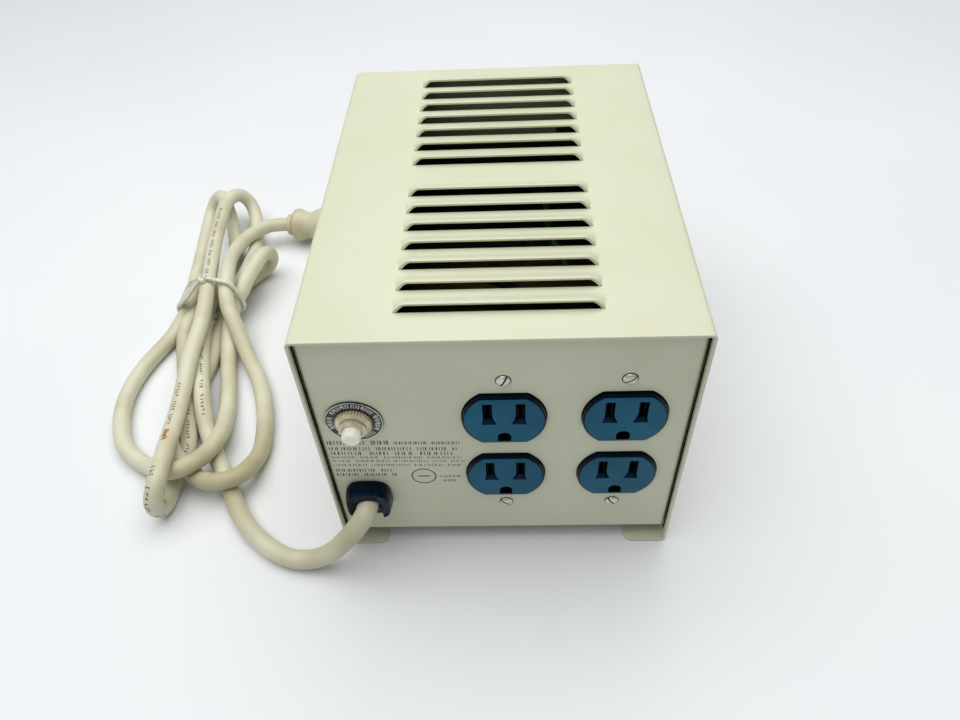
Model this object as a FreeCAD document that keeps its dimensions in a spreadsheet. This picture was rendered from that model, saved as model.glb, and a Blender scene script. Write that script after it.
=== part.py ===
import FreeCAD, Part
import math
import os
import Sketcher

V = FreeCAD.Vector

# Bench isolation transformer: a folded steel wrapper over a U-shaped chassis, two duplex
# receptacles, a push-to-reset breaker and a strain-relieved mains cord on the outlet panel.
# Millimetres, +Z up, outlet panel facing -Y, origin on the resting plane under the middle
# of the case. Driving dimensions sit in the sheet "Dims"; every sub-part is bound to them.

doc = FreeCAD.newDocument("IsolationTransformer")
sheet = doc.addObject("Spreadsheet::Sheet", "Dims")
row = [1]


class Q:
    """A number together with the sheet expression that gives it."""

    def __init__(self, v, e=None):
        self.v = float(v)
        self.e = e if e is not None else repr(float(v))

    def __add__(a, b):
        b = q(b)
        return Q(a.v + b.v, "(%s + %s)" % (a.e, b.e))

    def __radd__(a, b):
        return q(b) + a

    def __sub__(a, b):
        b = q(b)
        return Q(a.v - b.v, "(%s - %s)" % (a.e, b.e))

    def __rsub__(a, b):
        return q(b) - a

    def __mul__(a, b):
        b = q(b)
        return Q(a.v * b.v, "(%s * %s)" % (a.e, b.e))

    __rmul__ = __mul__

    def __truediv__(a, b):
        b = q(b)
        return Q(a.v / b.v, "(%s / %s)" % (a.e, b.e))

    def __neg__(a):
        return Q(-a.v, "(0 - %s)" % a.e)

    def __float__(a):
        return a.v


def q(x):
    return x if isinstance(x, Q) else Q(x)


def cell(alias, value, note=""):
    n = row[0]
    sheet.set("A%d" % n, alias)
    sheet.set("B%d" % n, repr(float(value)))
    sheet.setAlias("B%d" % n, alias)
    if note:
        sheet.set("C%d" % n, note)
    row[0] += 1
    return Q(value, "Dims." + alias)


# ---- driving dimensions -------------------------------------------------------------
case_w = cell("case_width", 156.0, "wrapper outside, X")
case_h = cell("case_height", 141.0, "wrapper top above the resting plane")
case_d = cell("case_depth", 211.0, "wrapper length, Y")
gauge = cell("sheet_gauge", 1.2, "wrapper and chassis steel")
fy = cell("front_edge", -103.675, "wrapper front edge, Y")
recess = cell("panel_recess", 2.2, "outlet panel behind the wrapper edge")
panel_hw = cell("panel_half", 76.1, "outlet panel half width")
pan_z = cell("chassis_floor", 11.6, "chassis underside above the resting plane")
foot = cell("foot_width", 19.9, "in-turned foot flange")
foot_r = cell("foot_corner", 4.0, "foot flange free corner")
bend_r = cell("bend_radius", 2.0, "wrapper bends, outside")
lou_l = cell("louver_length", 77.3)
lou_p = cell("louver_pitch", 12.55)
lou_y = cell("louver_first", 15.2, "first slit behind the front edge")
lou_gap = cell("louver_gap", 12.57, "extra pitch between the two banks")
lou_rise = cell("louver_rise", 4.3)
lou_dep = cell("louver_depth", 9.4)
col_a = cell("outlet_col_left", 1.2)
col_b = cell("outlet_col_right", 49.7)
out_z = cell("outlet_level", 75.2)
out_off = cell("outlet_offset", 19.45)
yoke_off = cell("yoke_screw_offset", 41.67)
face_w = cell("outlet_face_width", 34.2)
face_h = cell("outlet_face_height", 28.6)
face_out = cell("outlet_face_proud", 1.9)
brk_x = cell("breaker_across", -60.0)
brk_z = cell("breaker_level", 93.8)
brk_thr = cell("breaker_thread", 11.1)
btn_d = cell("button_dia", 7.9)
btn_out = cell("button_proud", 8.0, "button tip ahead of the wrapper edge")
rel_x = cell("relief_across", -61.2)
rel_z = cell("relief_level", 41.0)
cord_d = cell("cord_dia", 9.4)
core_w = cell("core_width", 133.0)
core_h = cell("core_height", 111.0)
core_t = cell("core_stack", 76.0)
core_leg = cell("core_leg", 22.2)
core_y = cell("core_centre", 15.0)
core_z = cell("core_floor", 15.8)
sw_x = cell("switch_across", 44.0)
sw_z = cell("switch_level", 96.0)
doc.recompute()

yp = fy + recess            # outlet panel, outside face
yb = yp + gauge             # outlet panel, inside face
yr = fy + case_d - recess   # opposite panel, outside face
top_in = case_h - gauge     # wrapper ceiling
pan_top = top_in - 0.5

nodes = []
made = []


def bind(obj, prop, val):
    val = q(val)
    if "Dims." in val.e:
        obj.setExpression(prop, val.e)


def setp(obj, prop, val):
    setattr(obj, prop, q(val).v)
    bind(obj, prop, val)


def place(obj, x, y, z, rot=None):
    obj.Placement = FreeCAD.Placement(V(q(x).v, q(y).v, q(z).v), rot or FreeCAD.Rotation())
    bind(obj, "Placement.Base.x", x)
    bind(obj, "Placement.Base.y", y)
    bind(obj, "Placement.Base.z", z)


count = [0]


def nm(stem):
    count[0] += 1
    return "%s_%03d" % (stem, count[0])


def box(x0, x1, y0, y1, z0, z1):
    o = doc.addObject("Part::Box", nm("Block"))
    setp(o, "Length", q(x1) - x0)
    setp(o, "Width", q(y1) - y0)
    setp(o, "Height", q(z1) - z0)
    place(o, x0, y0, z0)
    return o


AX = {
    "x": FreeCAD.Rotation(V(0, 1, 0), 90),
    "y": FreeCAD.Rotation(V(1, 0, 0), -90),
    "z": FreeCAD.Rotation(),
    "-y": FreeCAD.Rotation(V(1, 0, 0), 90),
}


def cyl(axis, x, y, z, dia, length):
    o = doc.addObject("Part::Cylinder", nm("Rod"))
    setp(o, "Radius", q(dia) / 2)
    setp(o, "Height", length)
    place(o, x, y, z, AX[axis])
    return o


def cone(axis, x, y, z, d0, d1, length):
    o = doc.addObject("Part::Cone", nm("Taper"))
    setp(o, "Radius1", q(d0) / 2)
    setp(o, "Radius2", q(d1) / 2)
    setp(o, "Height", length)
    place(o, x, y, z, AX[axis])
    return o


def hexagon(axis, x, y, z, af, length):
    o = doc.addObject("Part::Prism", nm("Hex"))
    o.Polygon = 6
    setp(o, "Circumradius", q(af) / math.sqrt(3.0))
    setp(o, "Height", length)
    place(o, x, y, z, AX[axis])
    return o


def fuse(*objs):
    if len(objs) == 1:
        return objs[0]
    o = doc.addObject("Part::MultiFuse", nm("Union"))
    o.Shapes = list(objs)
    return o


def cut(base, *tools):
    o = doc.addObject("Part::Cut", nm("Cut"))
    o.Base = base
    o.Tool = fuse(*tools)
    return o


def group(*objs):
    o = doc.addObject("Part::Compound", nm("Set"))
    o.Links = list(objs)
    return o


def node(name, obj):
    obj.Label = name
    nodes.append(obj)
    return obj


# ---- PartDesign helpers --------------------------------------------------------------
def body(stem):
    return doc.addObject("PartDesign::Body", nm(stem))


def sketch(b, role, offset=0.0):
    plane = [f for f in b.Origin.OriginFeatures if f.Role == role][0]
    s = b.newObject("Sketcher::SketchObject", nm("Profile"))
    s.AttachmentSupport = [(plane, "")]
    s.MapMode = "FlatFace"
    off = q(offset)
    s.AttachmentOffset = FreeCAD.Placement(V(0, 0, off.v), FreeCAD.Rotation())
    bind(s, "AttachmentOffset.Base.z", off)
    return s


def vertex(s, geo, pos, x, y):
    for kind, val in (("DistanceX", q(x)), ("DistanceY", q(y))):
        i = s.addConstraint(Sketcher.Constraint(kind, -1, 1, geo, pos, val.v))
        if "Dims." in val.e:
            s.setExpression("Constraints[%d]" % i, val.e)


def poly(s, pts):
    pts = [(q(a), q(b)) for a, b in pts]
    n = len(pts)
    ids = []
    for i in range(n):
        a, b = pts[i], pts[(i + 1) % n]
        ids.append(s.addGeometry(Part.LineSegment(V(a[0].v, a[1].v, 0), V(b[0].v, b[1].v, 0)), False))
    for i in range(n):
        s.addConstraint(Sketcher.Constraint("Coincident", ids[i], 2, ids[(i + 1) % n], 1))
    for i in range(n):
        vertex(s, ids[i], 1, pts[i][0], pts[i][1])


def rect(s, x0, x1, y0, y1):
    poly(s, [(x0, y0), (x1, y0), (x1, y1), (x0, y1)])


def circle(s, x, y, dia):
    x, y, dia = q(x), q(y), q(dia)
    g = s.addGeometry(Part.Circle(V(x.v, y.v, 0), V(0, 0, 1), dia.v / 2), False)
    i = s.addConstraint(Sketcher.Constraint("Radius", g, dia.v / 2))
    if "Dims." in dia.e:
        s.setExpression("Constraints[%d]" % i, "%s / 2" % dia.e)
    vertex(s, g, 3, x, y)


def arc_profile(s, cx, cz, w, hh):
    """Outlet face outline: flat top and bottom, round sides."""
    cx, cz, w, hh = q(cx), q(cz), q(w), q(hh)
    r, h2 = w.v / 2, hh.v / 2
    a = math.asin(h2 / r)
    dx = r * math.cos(a)
    x, z = cx.v, cz.v
    g = [
        s.addGeometry(Part.LineSegment(V(x - dx, z + h2, 0), V(x + dx, z + h2, 0)), False),
        s.addGeometry(Part.ArcOfCircle(Part.Circle(V(x, z, 0), V(0, 0, 1), r), -a, a), False),
        s.addGeometry(Part.LineSegment(V(x + dx, z - h2, 0), V(x - dx, z - h2, 0)), False),
        s.addGeometry(Part.ArcOfCircle(Part.Circle(V(x, z, 0), V(0, 0, 1), r), math.pi - a, math.pi + a), False),
    ]
    s.addConstraint(Sketcher.Constraint("Coincident", g[0], 2, g[1], 2))
    s.addConstraint(Sketcher.Constraint("Coincident", g[1], 1, g[2], 1))
    s.addConstraint(Sketcher.Constraint("Coincident", g[2], 2, g[3], 2))
    s.addConstraint(Sketcher.Constraint("Coincident", g[3], 1, g[0], 1))
    s.addConstraint(Sketcher.Constraint("Horizontal", g[0]))
    s.addConstraint(Sketcher.Constraint("Horizontal", g[2]))
    s.addConstraint(Sketcher.Constraint("Coincident", g[1], 3, g[3], 3))
    vertex(s, g[1], 3, cx, cz)
    i = s.addConstraint(Sketcher.Constraint("Radius", g[1], r))
    if "Dims." in w.e:
        s.setExpression("Constraints[%d]" % i, "%s / 2" % w.e)
    i = s.addConstraint(Sketcher.Constraint("Equal", g[1], g[3]))
    i = s.addConstraint(Sketcher.Constraint("DistanceY", g[2], 1, g[0], 2, hh.v))
    if "Dims." in hh.e:
        s.setExpression("Constraints[%d]" % i, hh.e)


def pad(b, s, length, mid=False, rev=False):
    p = b.newObject("PartDesign::Pad", nm("Pad"))
    p.Profile = s
    setp(p, "Length", length)
    if mid:
        p.Midplane = True
    p.Reversed = rev
    doc.recompute()
    return p


def pocket(b, s, length=None, mid=False, rev=False, through=False):
    before = b.Shape.Volume
    p = b.newObject("PartDesign::Pocket", nm("Pocket"))
    p.Profile = s
    if through:
        p.Type = "ThroughAll"
    else:
        setp(p, "Length", length)
    if mid:
        p.Midplane = True
    p.Reversed = rev
    doc.recompute()
    if not b.Shape.Volume < before - 1e-3:
        raise RuntimeError("pocket %s cuts nothing: %s %s, %s at %s" % (
            p.Name, before, b.Shape.Volume, p.State, s.Shape.BoundBox))
    return p


def fillet(b, radius, pick, kind="PartDesign::Fillet"):
    names = []
    for i, e in enumerate(b.Shape.Edges):
        if pick(e):
            names.append("Edge%d" % (i + 1))
    if not names:
        raise RuntimeError("no edge for a fillet on " + b.Name)
    base = b.Tip
    f = b.newObject(kind, nm("Round"))
    f.Base = (base, names)
    setp(f, "Radius" if kind.endswith("Fillet") else "Size", radius)
    doc.recompute()
    return f


def along(e, axis, tol=1e-4):
    d = e.Vertexes[-1].Point - e.Vertexes[0].Point
    if d.Length < 1e-6:
        return False
    d.normalize()
    return abs(abs(getattr(d, axis)) - 1) < tol


def at(e, **k):
    c = e.CenterOfMass
    return all(abs(getattr(c, n) - v) < 0.02 for n, v in k.items())


# ---- 1. wrapper cover ---------------------------------------------------------------
cov = body("Cover")
s = sketch(cov, "XZ_Plane", -(fy + case_d))
hw = case_w / 2
poly(s, [(-hw, 0), (-hw, case_h), (hw, case_h), (hw, 0), (hw - foot, 0), (hw - foot, gauge),
         (hw - gauge, gauge), (hw - gauge, top_in), (-hw + gauge, top_in), (-hw + gauge, gauge),
         (-hw + foot, gauge), (-hw + foot, 0)])
pad(cov, s, case_d)
fillet(cov, bend_r, lambda e: along(e, "y") and abs(abs(e.CenterOfMass.x) - hw.v) < 0.01)
fillet(cov, bend_r - gauge, lambda e: along(e, "y") and abs(abs(e.CenterOfMass.x) - (hw - gauge).v) < 0.01)
fillet(cov, foot_r, lambda e: along(e, "z") and abs(abs(e.CenterOfMass.x) - (hw - foot).v) < 0.01)
# windows under the louvers, one per bank, repeated along Y
for bank in (0, 1):
    y0 = fy + lou_y + bank * (lou_p * 7 + lou_gap)
    s = sketch(cov, "XY_Plane", top_in - 2)
    rect(s, -lou_l / 2 + 2.0, lou_l / 2 - 2.0, y0, y0 + lou_dep - 1.6)
    p = pocket(cov, s, gauge + 4, rev=True)
    pat = cov.newObject("PartDesign::LinearPattern", nm("Bank"))
    pat.Originals = [p]
    yax = [f for f in cov.Origin.OriginFeatures if f.Role == "Y_Axis"][0]
    pat.Direction = (yax, [""])
    pat.Length = lou_p.v * 6
    pat.setExpression("Length", (lou_p * 6).e)
    pat.Occurrences = 7
    cov.Tip = pat
    doc.recompute()
# screw holes in the side walls, four a side
scr_y = [fy + recess + 9.0, fy + case_d - recess - 9.0]
scr_z = [24.0, 118.0]
s = sketch(cov, "YZ_Plane")
for y in scr_y:
    for z in scr_z:
        circle(s, y, z, 4.4)
pocket(cov, s, case_w + 4, mid=True)

hoods = []
for k in range(14):
    y0 = fy + lou_y + lou_p * k + (lou_gap if k > 6 else Q(0.0))
    pair = []
    for inset, low, rise in ((0.0, case_h - 0.3, lou_rise + 0.3), (1.05, case_h - 1.5, lou_rise - 1.0 + 1.5)):
        wdg = doc.addObject("Part::Wedge", nm("Hood"))
        # the wedge grows along its own Y, turned to +Z
        half = lou_l / 2 - inset
        setp(wdg, "Xmin", -half)
        setp(wdg, "Xmax", half)
        setp(wdg, "X2min", -half + 5.5)
        setp(wdg, "X2max", half - 5.5)
        setp(wdg, "Ymin", 0.0)
        setp(wdg, "Ymax", rise)
        setp(wdg, "Zmin", -(lou_dep - inset * 1.2))
        setp(wdg, "Zmax", 0.0 if inset == 0 else 1.0)
        setp(wdg, "Z2min", -2.6)
        setp(wdg, "Z2max", 0.0 if inset == 0 else 1.0)
        place(wdg, 0.0, y0, low, FreeCAD.Rotation(V(1, 0, 0), 90))
        pair.append(wdg)
    hoods.append(cut(pair[0], pair[1]))
node("cover", fuse(cov, *hoods))

# ---- 2. chassis tray ----------------------------------------------------------------
cha = body("Chassis")
s = sketch(cha, "YZ_Plane")
poly(s, [(yp, pan_z), (yp, pan_top), (yb, pan_top), (yb, pan_z + gauge), (yr - gauge, pan_z + gauge),
         (yr - gauge, pan_top), (yr, pan_top), (yr, pan_z)])
pad(cha, s, panel_hw * 2, mid=True)
# returns bent back from the panels' upright edges, and low side flanges
for side in (-1, 1):
    x0 = panel_hw * side - (gauge if side > 0 else Q(0.0))
    for ya, yb2 in ((yp, yp + 16.0), (yr - 16.0, yr)):
        s = sketch(cha, "XY_Plane", pan_z)
        rect(s, x0, x0 + gauge, ya, yb2)
        pad(cha, s, pan_top - pan_z)
    s = sketch(cha, "XY_Plane", pan_z)
    rect(s, x0, x0 + gauge, yp, yr)
    pad(cha, s, Q(14.0))
fillet(cha, 2.0, lambda e: along(e, "z") and abs(abs(e.CenterOfMass.x) - panel_hw.v) < 0.01
       and (abs(e.CenterOfMass.y - yp.v) < 0.01 or abs(e.CenterOfMass.y - yr.v) < 0.01))
# outlet panel openings
s = sketch(cha, "XZ_Plane", -(yb + 1))
for cx in (col_a, col_b):
    for sg in (-1, 1):
        arc_profile(s, cx, out_z + out_off * sg, face_w + 0.8, face_h + 0.8)
        circle(s, cx, out_z + yoke_off * sg, 4.2)
circle(s, brk_x, brk_z, brk_thr + 0.3)
rect(s, rel_x - 7.2, rel_x + 7.2, rel_z - 8.0, rel_z + 8.0)
pocket(cha, s, gauge + 2, rev=True)
# switch opening in the opposite panel
s = sketch(cha, "XZ_Plane", -(yr + 1))
rect(s, sw_x - 10.6, sw_x + 10.6, sw_z - 13.9, sw_z + 13.9)
pocket(cha, s, gauge + 2, rev=True)
# side screw holes, transformer bolts and ground stud
s = sketch(cha, "YZ_Plane")
for y in scr_y:
    for z in scr_z:
        circle(s, y, z, 3.7)
pocket(cha, s, case_w + 4, mid=True)
bolt_x, bolt_dy = 50.0, 49.5
s = sketch(cha, "XY_Plane", pan_z - 1)
for sx in (-1, 1):
    for sy in (-1, 1):
        circle(s, bolt_x * sx, core_y + bolt_dy * sy, 5.4)
circle(s, -45.0, fy + 32.0, 4.3)
pocket(cha, s, gauge + 2, rev=True)
node("chassis_tray", cha)

# ---- 3. cover screws: pan head, cross recess ------------------------------------------
screws = []
for side in (-1, 1):
    for y in scr_y:
        for z in scr_z:
            if side > 0:
                hd = cone("x", hw + 0.02, y, z, 7.4, 5.6, 1.9)
                sh = cyl("x", hw - 8.0, y, z, 3.6, 8.2)
                sl1 = box(hw + 0.9, hw + 3, y - 1.9, y + 1.9, q(z) - 0.35, q(z) + 0.35)
                sl2 = box(hw + 0.9, hw + 3, y - 0.35, y + 0.35, q(z) - 1.9, q(z) + 1.9)
            else:
                hd = cone("x", -hw - 1.92, y, z, 5.6, 7.4, 1.9)
                sh = cyl("x", -hw - 0.2, y, z, 3.6, 8.2)
                sl1 = box(-hw - 3, -hw - 0.9, y - 1.9, y + 1.9, q(z) - 0.35, q(z) + 0.35)
                sl2 = box(-hw - 3, -hw - 0.9, y - 0.35, y + 0.35, q(z) - 1.9, q(z) + 1.9)
            screws.append(cut(fuse(hd, sh), sl1, sl2))
node("cover_screws", group(*screws))

# ---- 4. duplex receptacles ------------------------------------------------------------
body_back = yb + 26.0


def socket_cuts(cx, cz, y0, y1):
    """Blade slots with a funnel mouth and a U-shaped ground hole, cut along Y."""
    out = []
    for sx, tall in ((-6.4, 8.6), (6.4, 7.4)):
        out.append(box(cx + sx - 1.3, cx + sx + 1.3, y0, y1, cz + 1.4, cz + 1.4 + tall))
        w = doc.addObject("Part::Wedge", nm("Mouth"))
        # funnel: wide at the face, narrowing inwards along +Y
        setp(w, "Xmin", -2.9)
        setp(w, "Xmax", 2.9)
        setp(w, "Zmin", -(tall / 2 + 1.6))
        setp(w, "Zmax", tall / 2 + 1.6)
        setp(w, "X2min", -1.3)
        setp(w, "X2max", 1.3)
        setp(w, "Z2min", -tall / 2)
        setp(w, "Z2max", tall / 2)
        setp(w, "Ymin", 0.0)
        setp(w, "Ymax", 2.2)
        place(w, cx + sx, yp - face_out - 0.05, cz + 1.4 + tall / 2)
        out.append(w)
    out.append(cyl("y", cx, y0, cz - 8.4, 5.3, q(y1) - y0))
    out.append(box(cx - 2.65, cx + 2.65, y0, y1, cz - 11.3, cz - 8.4))
    return out


term_screws, gnd_screws, yoke_screws = [], [], []
for tag, cx in (("left", col_a), ("right", col_b)):
    f = body("Face")
    s = sketch(f, "XZ_Plane", -(yb + 9.0))
    rect(s, cx - 16.6, cx + 16.6, out_z - 34.4, out_z + 34.4)
    pad(f, s, Q(8.6))
    for sg in (-1, 1):
        s = sketch(f, "XZ_Plane", -(yb + 1.0))
        arc_profile(s, cx, out_z + out_off * sg, face_w, face_h)
        pad(f, s, face_out + gauge + 1.0)
    fillet(f, 0.6, lambda e: abs(e.CenterOfMass.y - (yp - face_out).v) < 0.01)
    tools = []
    for sg in (-1, 1):
        tools += socket_cuts(cx, out_z + out_off * sg, yp - face_out - 1, yb + 9.6)
    node("receptacle_%s_face" % tag, cut(f, *tools))

    shell = box(cx - 16.6, cx + 16.6, yb + 9.1, body_back, out_z - 34.4, out_z + 34.4)
    hollow = box(cx - 13.6, cx + 13.6, yb + 8.0, body_back - 2.4, out_z - 31.8, out_z + 31.8)
    node("receptacle_%s_body" % tag, cut(shell, hollow))

    st = body("Strap")
    s = sketch(st, "YZ_Plane", cx)
    a, b_, c_ = yb + 0.05, body_back + 0.1, 36.4
    poly(s, [(a, out_z - 52), (a, out_z - c_ + 1.4), (b_, out_z - c_ + 1.4), (b_, out_z + c_ - 1.4),
             (a, out_z + c_ - 1.4), (a, out_z + 52), (a + 1.4, out_z + 52), (a + 1.4, out_z + c_),
             (b_ + 1.4, out_z + c_), (b_ + 1.4, out_z - c_), (a + 1.4, out_z - c_), (a + 1.4, out_z - 52)])
    pad(st, s, Q(19.0), mid=True)
    s = sketch(st, "XZ_Plane", -(a + 2.4))
    for sg in (-1, 1):
        circle(s, cx, out_z + yoke_off * sg, 3.7)
    pocket(st, s, Q(3.4), rev=True)
    node("receptacle_%s_strap" % tag, st)

    # one strip of wipers a side, and the ground strip on the centre line
    parts = []
    for sx in (-1, 1):
        strip = box(cx + 9.2 * sx - 0.5, cx + 9.2 * sx + 0.5, yb + 12.0, yb + 20.0, out_z - 29.0, out_z + 29.0)
        bits = [strip]
        for sg in (-1, 1):
            zc = out_z + out_off * sg + 5.2
            lo, hi = (4.2, 9.4) if sx > 0 else (-9.4, -4.2)
            bits.append(box(cx + lo, cx + hi, yb + 19.0, yb + 20.0, zc - 3, zc + 3))
            for wx in (4.6, 7.4):
                bits.append(box(cx + wx * sx - 0.4, cx + wx * sx + 0.4, yb + 11.0, yb + 20.0, zc - 3, zc + 3))
        parts.append(fuse(*bits))
    node("receptacle_%s_contacts" % tag, group(*parts))
    bits = [box(cx - 3.2, cx + 3.2, yb + 22.0, yb + 22.9, out_z - 30.6, out_z + 12.0)]
    for sg in (-1, 1):
        zc = out_z + out_off * sg - 9.6
        for wx in (-3.0, 3.0):
            bits.append(box(cx + wx - 0.4, cx + wx + 0.4, yb + 12.0, yb + 22.9, zc - 2.6, zc + 2.6))
    node("receptacle_%s_ground_clip" % tag, fuse(*bits))

    for sx in (-1, 1):
        for sg in (-1, 1):
            x0 = cx + (16.7 if sx > 0 else -19.5)
            head = cyl("x", x0, yb + 16.0, out_z + 10.0 * sg, 8.0, 2.8)
            slot = box(x0 + (2.0 if sx > 0 else -0.1), x0 + (2.9 if sx > 0 else 0.8), yb + 11.5, yb + 20.5,
                       out_z + 10.0 * sg - 0.5, out_z + 10.0 * sg + 0.5)
            term_screws.append(cut(head, slot))
    gnd_screws.append(cut(cyl("y", cx, body_back + 1.6, out_z - 22.0, 7.6, 2.6),
                          box(cx - 4.2, cx + 4.2, body_back + 3.4, body_back + 4.4, out_z - 22.5, out_z - 21.5)))
    for sg in (-1, 1):
        z = out_z + yoke_off * sg
        dome = cone("-y", cx, yp - 0.02, z, 5.3, 3.9, 1.2)
        shank = cyl("y", cx, yp - 0.5, z, 3.5, 9.0)
        slot = box(cx - 3.4, cx + 3.4, yp - 1.7, yp - 0.6, z - 0.4, z + 0.4)
        yoke_screws.append(cut(fuse(dome, shank), slot))
node("receptacle_terminal_screws", group(*term_screws))
node("receptacle_ground_screws", group(*gnd_screws))
node("receptacle_mount_screws", group(*yoke_screws))

# ---- 5. push-to-reset breaker -----------------------------------------------------------
dial = body("Dial")
s = sketch(dial, "XZ_Plane", -(yp - 0.02))
circle(s, brk_x, brk_z, 24.0)
circle(s, brk_x, brk_z, brk_thr + 0.3)
pad(dial, s, Q(0.8))
node("breaker_dial_plate", dial)

nut = body("Nut")
ny = yp - 0.84
s = sketch(nut, "XZ_Plane", 0.0)
circle(s, 0.0, 0.0, 15.0)
circle(s, 0.0, 0.0, brk_thr + 0.06)
pad(nut, s, Q(3.0))
s = sketch(nut, "XZ_Plane", -1.0)
poly(s, [(7.0, 0.0), (7.9, -0.62), (7.9, 0.62)])
p = pocket(nut, s, Q(5.0), rev=True)
pp = nut.newObject("PartDesign::PolarPattern", nm("Knurl"))
pp.Originals = [p]
yax = [f for f in nut.Origin.OriginFeatures if f.Role == "Y_Axis"][0]
pp.Axis = (yax, [""])
pp.Angle = 360
pp.Occurrences = 36
nut.Tip = pp
doc.recompute()
nut.Placement = FreeCAD.Placement(V(brk_x.v, ny.v, brk_z.v), FreeCAD.Rotation())
bind(nut, "Placement.Base.x", brk_x)
bind(nut, "Placement.Base.y", ny)
bind(nut, "Placement.Base.z", brk_z)
node("breaker_knurled_nut", nut)

by = fy - 3.3
tube = fuse(cyl("y", brk_x, by, brk_z, 9.6, 3.0), cyl("y", brk_x, by + 1.0, brk_z, brk_thr, yb - by + 3.0))
flange = cyl("y", brk_x, yb + 0.05, brk_z, 14.0, 1.6)
bore = cyl("y", brk_x, by - 1, brk_z, btn_d + 0.16, 40.0)
node("breaker_bushing", cut(fuse(tube, flange), bore))

bk0, bk1 = yb + 1.75, yb + 37.0
case = box(brk_x - 8.0, brk_x + 8.0, bk0, bk1, brk_z - 17.0, brk_z + 17.0)
cav = box(brk_x - 6.2, brk_x + 6.2, bk0 + 3.0, bk1 - 2.0, brk_z - 15.2, brk_z + 15.2)
seat = cyl("y", brk_x, bk0 - 1, brk_z, brk_thr + 0.1, 6.0)
node("breaker_body", cut(case, cav, seat))

# button: domed tip, cylindrical shaft, thin stem down the spring
btn = body("Button")
s = sketch(btn, "XY_Plane", 0.0)
r_ = btn_d / 2
tip = -(btn_out + 0.0)
poly(s, [(0, 0.0), (r_ - 1.1, 0.0), (r_ - 0.35, 0.35), (r_, 1.1), (r_, 13.5), (2.0, 13.5), (2.0, 32.0), (0, 32.0)])
rev = btn.newObject("PartDesign::Revolution", nm("Turned"))
rev.Profile = s
rev.ReferenceAxis = (s, ["V_Axis"])
rev.Angle = 360
doc.recompute()
btn.Placement = FreeCAD.Placement(V(brk_x.v, (fy - btn_out).v, brk_z.v), FreeCAD.Rotation())
bind(btn, "Placement.Base.x", brk_x)
bind(btn, "Placement.Base.y", fy - btn_out)
bind(btn, "Placement.Base.z", brk_z)
node("breaker_button", btn)

plate = cyl("y", brk_x, fy - btn_out + 32.0, brk_z, 9.0, 1.4)
node("breaker_trip_plate", plate)

sp_y0, sp_y1 = fy - btn_out + 13.55, fy - btn_out + 26.6
turns = 6
pitch = (sp_y1.v - sp_y0.v - 0.9) / turns
hel = Part.makeHelix(pitch, pitch * turns, 2.95)
hel.rotate(V(0, 0, 0), V(1, 0, 0), -90)
hel.translate(V(brk_x.v, sp_y0.v + 0.45, brk_z.v))
start = hel.Edges[0].valueAt(hel.Edges[0].FirstParameter)
tan = hel.Edges[0].tangentAt(hel.Edges[0].FirstParameter)
prof = Part.Wire([Part.Edge(Part.Circle(start, tan, 0.4))])
spring = doc.addObject("Part::Feature", "Spring")
spring.Shape = Part.Wire(hel.Edges).makePipeShell([prof], True, True)
spring.Placement = FreeCAD.Placement()
node("breaker_spring", spring)

bim = box(brk_x - 4.0, brk_x + 4.0, bk0 + 24.5, bk0 + 25.3, brk_z - 13.0, brk_z + 13.0)
pads_ = [cyl("-y", brk_x, bk0 + 24.5, brk_z + d, 3.2, 1.2) for d in (-10.5, 10.5)]
node("breaker_bimetal", fuse(bim, *pads_))
tabs = []
for d in (-1, 1):
    tab = box(brk_x - 3.15, brk_x + 3.15, bk1 - 5.4, bk1 + 9.0, brk_z + 9.0 * d - 0.4, brk_z + 9.0 * d + 0.4)
    hole = cyl("z", brk_x, bk1 + 5.5, brk_z + 9.0 * d - 1, 1.6, 2.0)
    tabs.append(cut(tab, hole))
node("breaker_terminals", group(*tabs))
brk_case = nodes[[n.Label for n in nodes].index("breaker_body")]
brk_case.Label = "breaker_body_raw"
nodes.remove(brk_case)
ledge = cut(box(brk_x - 6.3, brk_x + 6.3, fy - btn_out + 26.7, fy - btn_out + 27.7, brk_z - 15.3, brk_z + 15.3),
            cyl("y", brk_x, fy - btn_out + 26, brk_z, 4.6, 3.0))
slots_ = [box(brk_x - 3.2, brk_x + 3.2, bk1 - 3.0, bk1 + 1, brk_z + 9.0 * d - 0.45, brk_z + 9.0 * d + 0.45) for d in (-1, 1)]
node("breaker_body", fuse(cut(brk_case, *slots_), ledge))

# ---- 6. strain relief ---------------------------------------------------------------------
rel = body("Relief")
s = sketch(rel, "XZ_Plane", -(yp - 0.02))


def relief_outline(s, hwid, up, dn, chamf, keep=0.0):
    poly(s, [(rel_x - hwid, rel_z - dn + chamf), (rel_x - hwid, rel_z + up - chamf * 1.6),
             (rel_x - hwid + chamf * 0.55, rel_z + up - chamf * 0.6), (rel_x - hwid + chamf * 1.6, rel_z + up),
             (rel_x + hwid - chamf * 1.6, rel_z + up), (rel_x + hwid - chamf * 0.55, rel_z + up - chamf * 0.6),
             (rel_x + hwid, rel_z + up - chamf * 1.6), (rel_x + hwid, rel_z - dn + chamf),
             (rel_x + hwid - chamf, rel_z - dn), (rel_x - hwid + chamf, rel_z - dn)])


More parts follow.
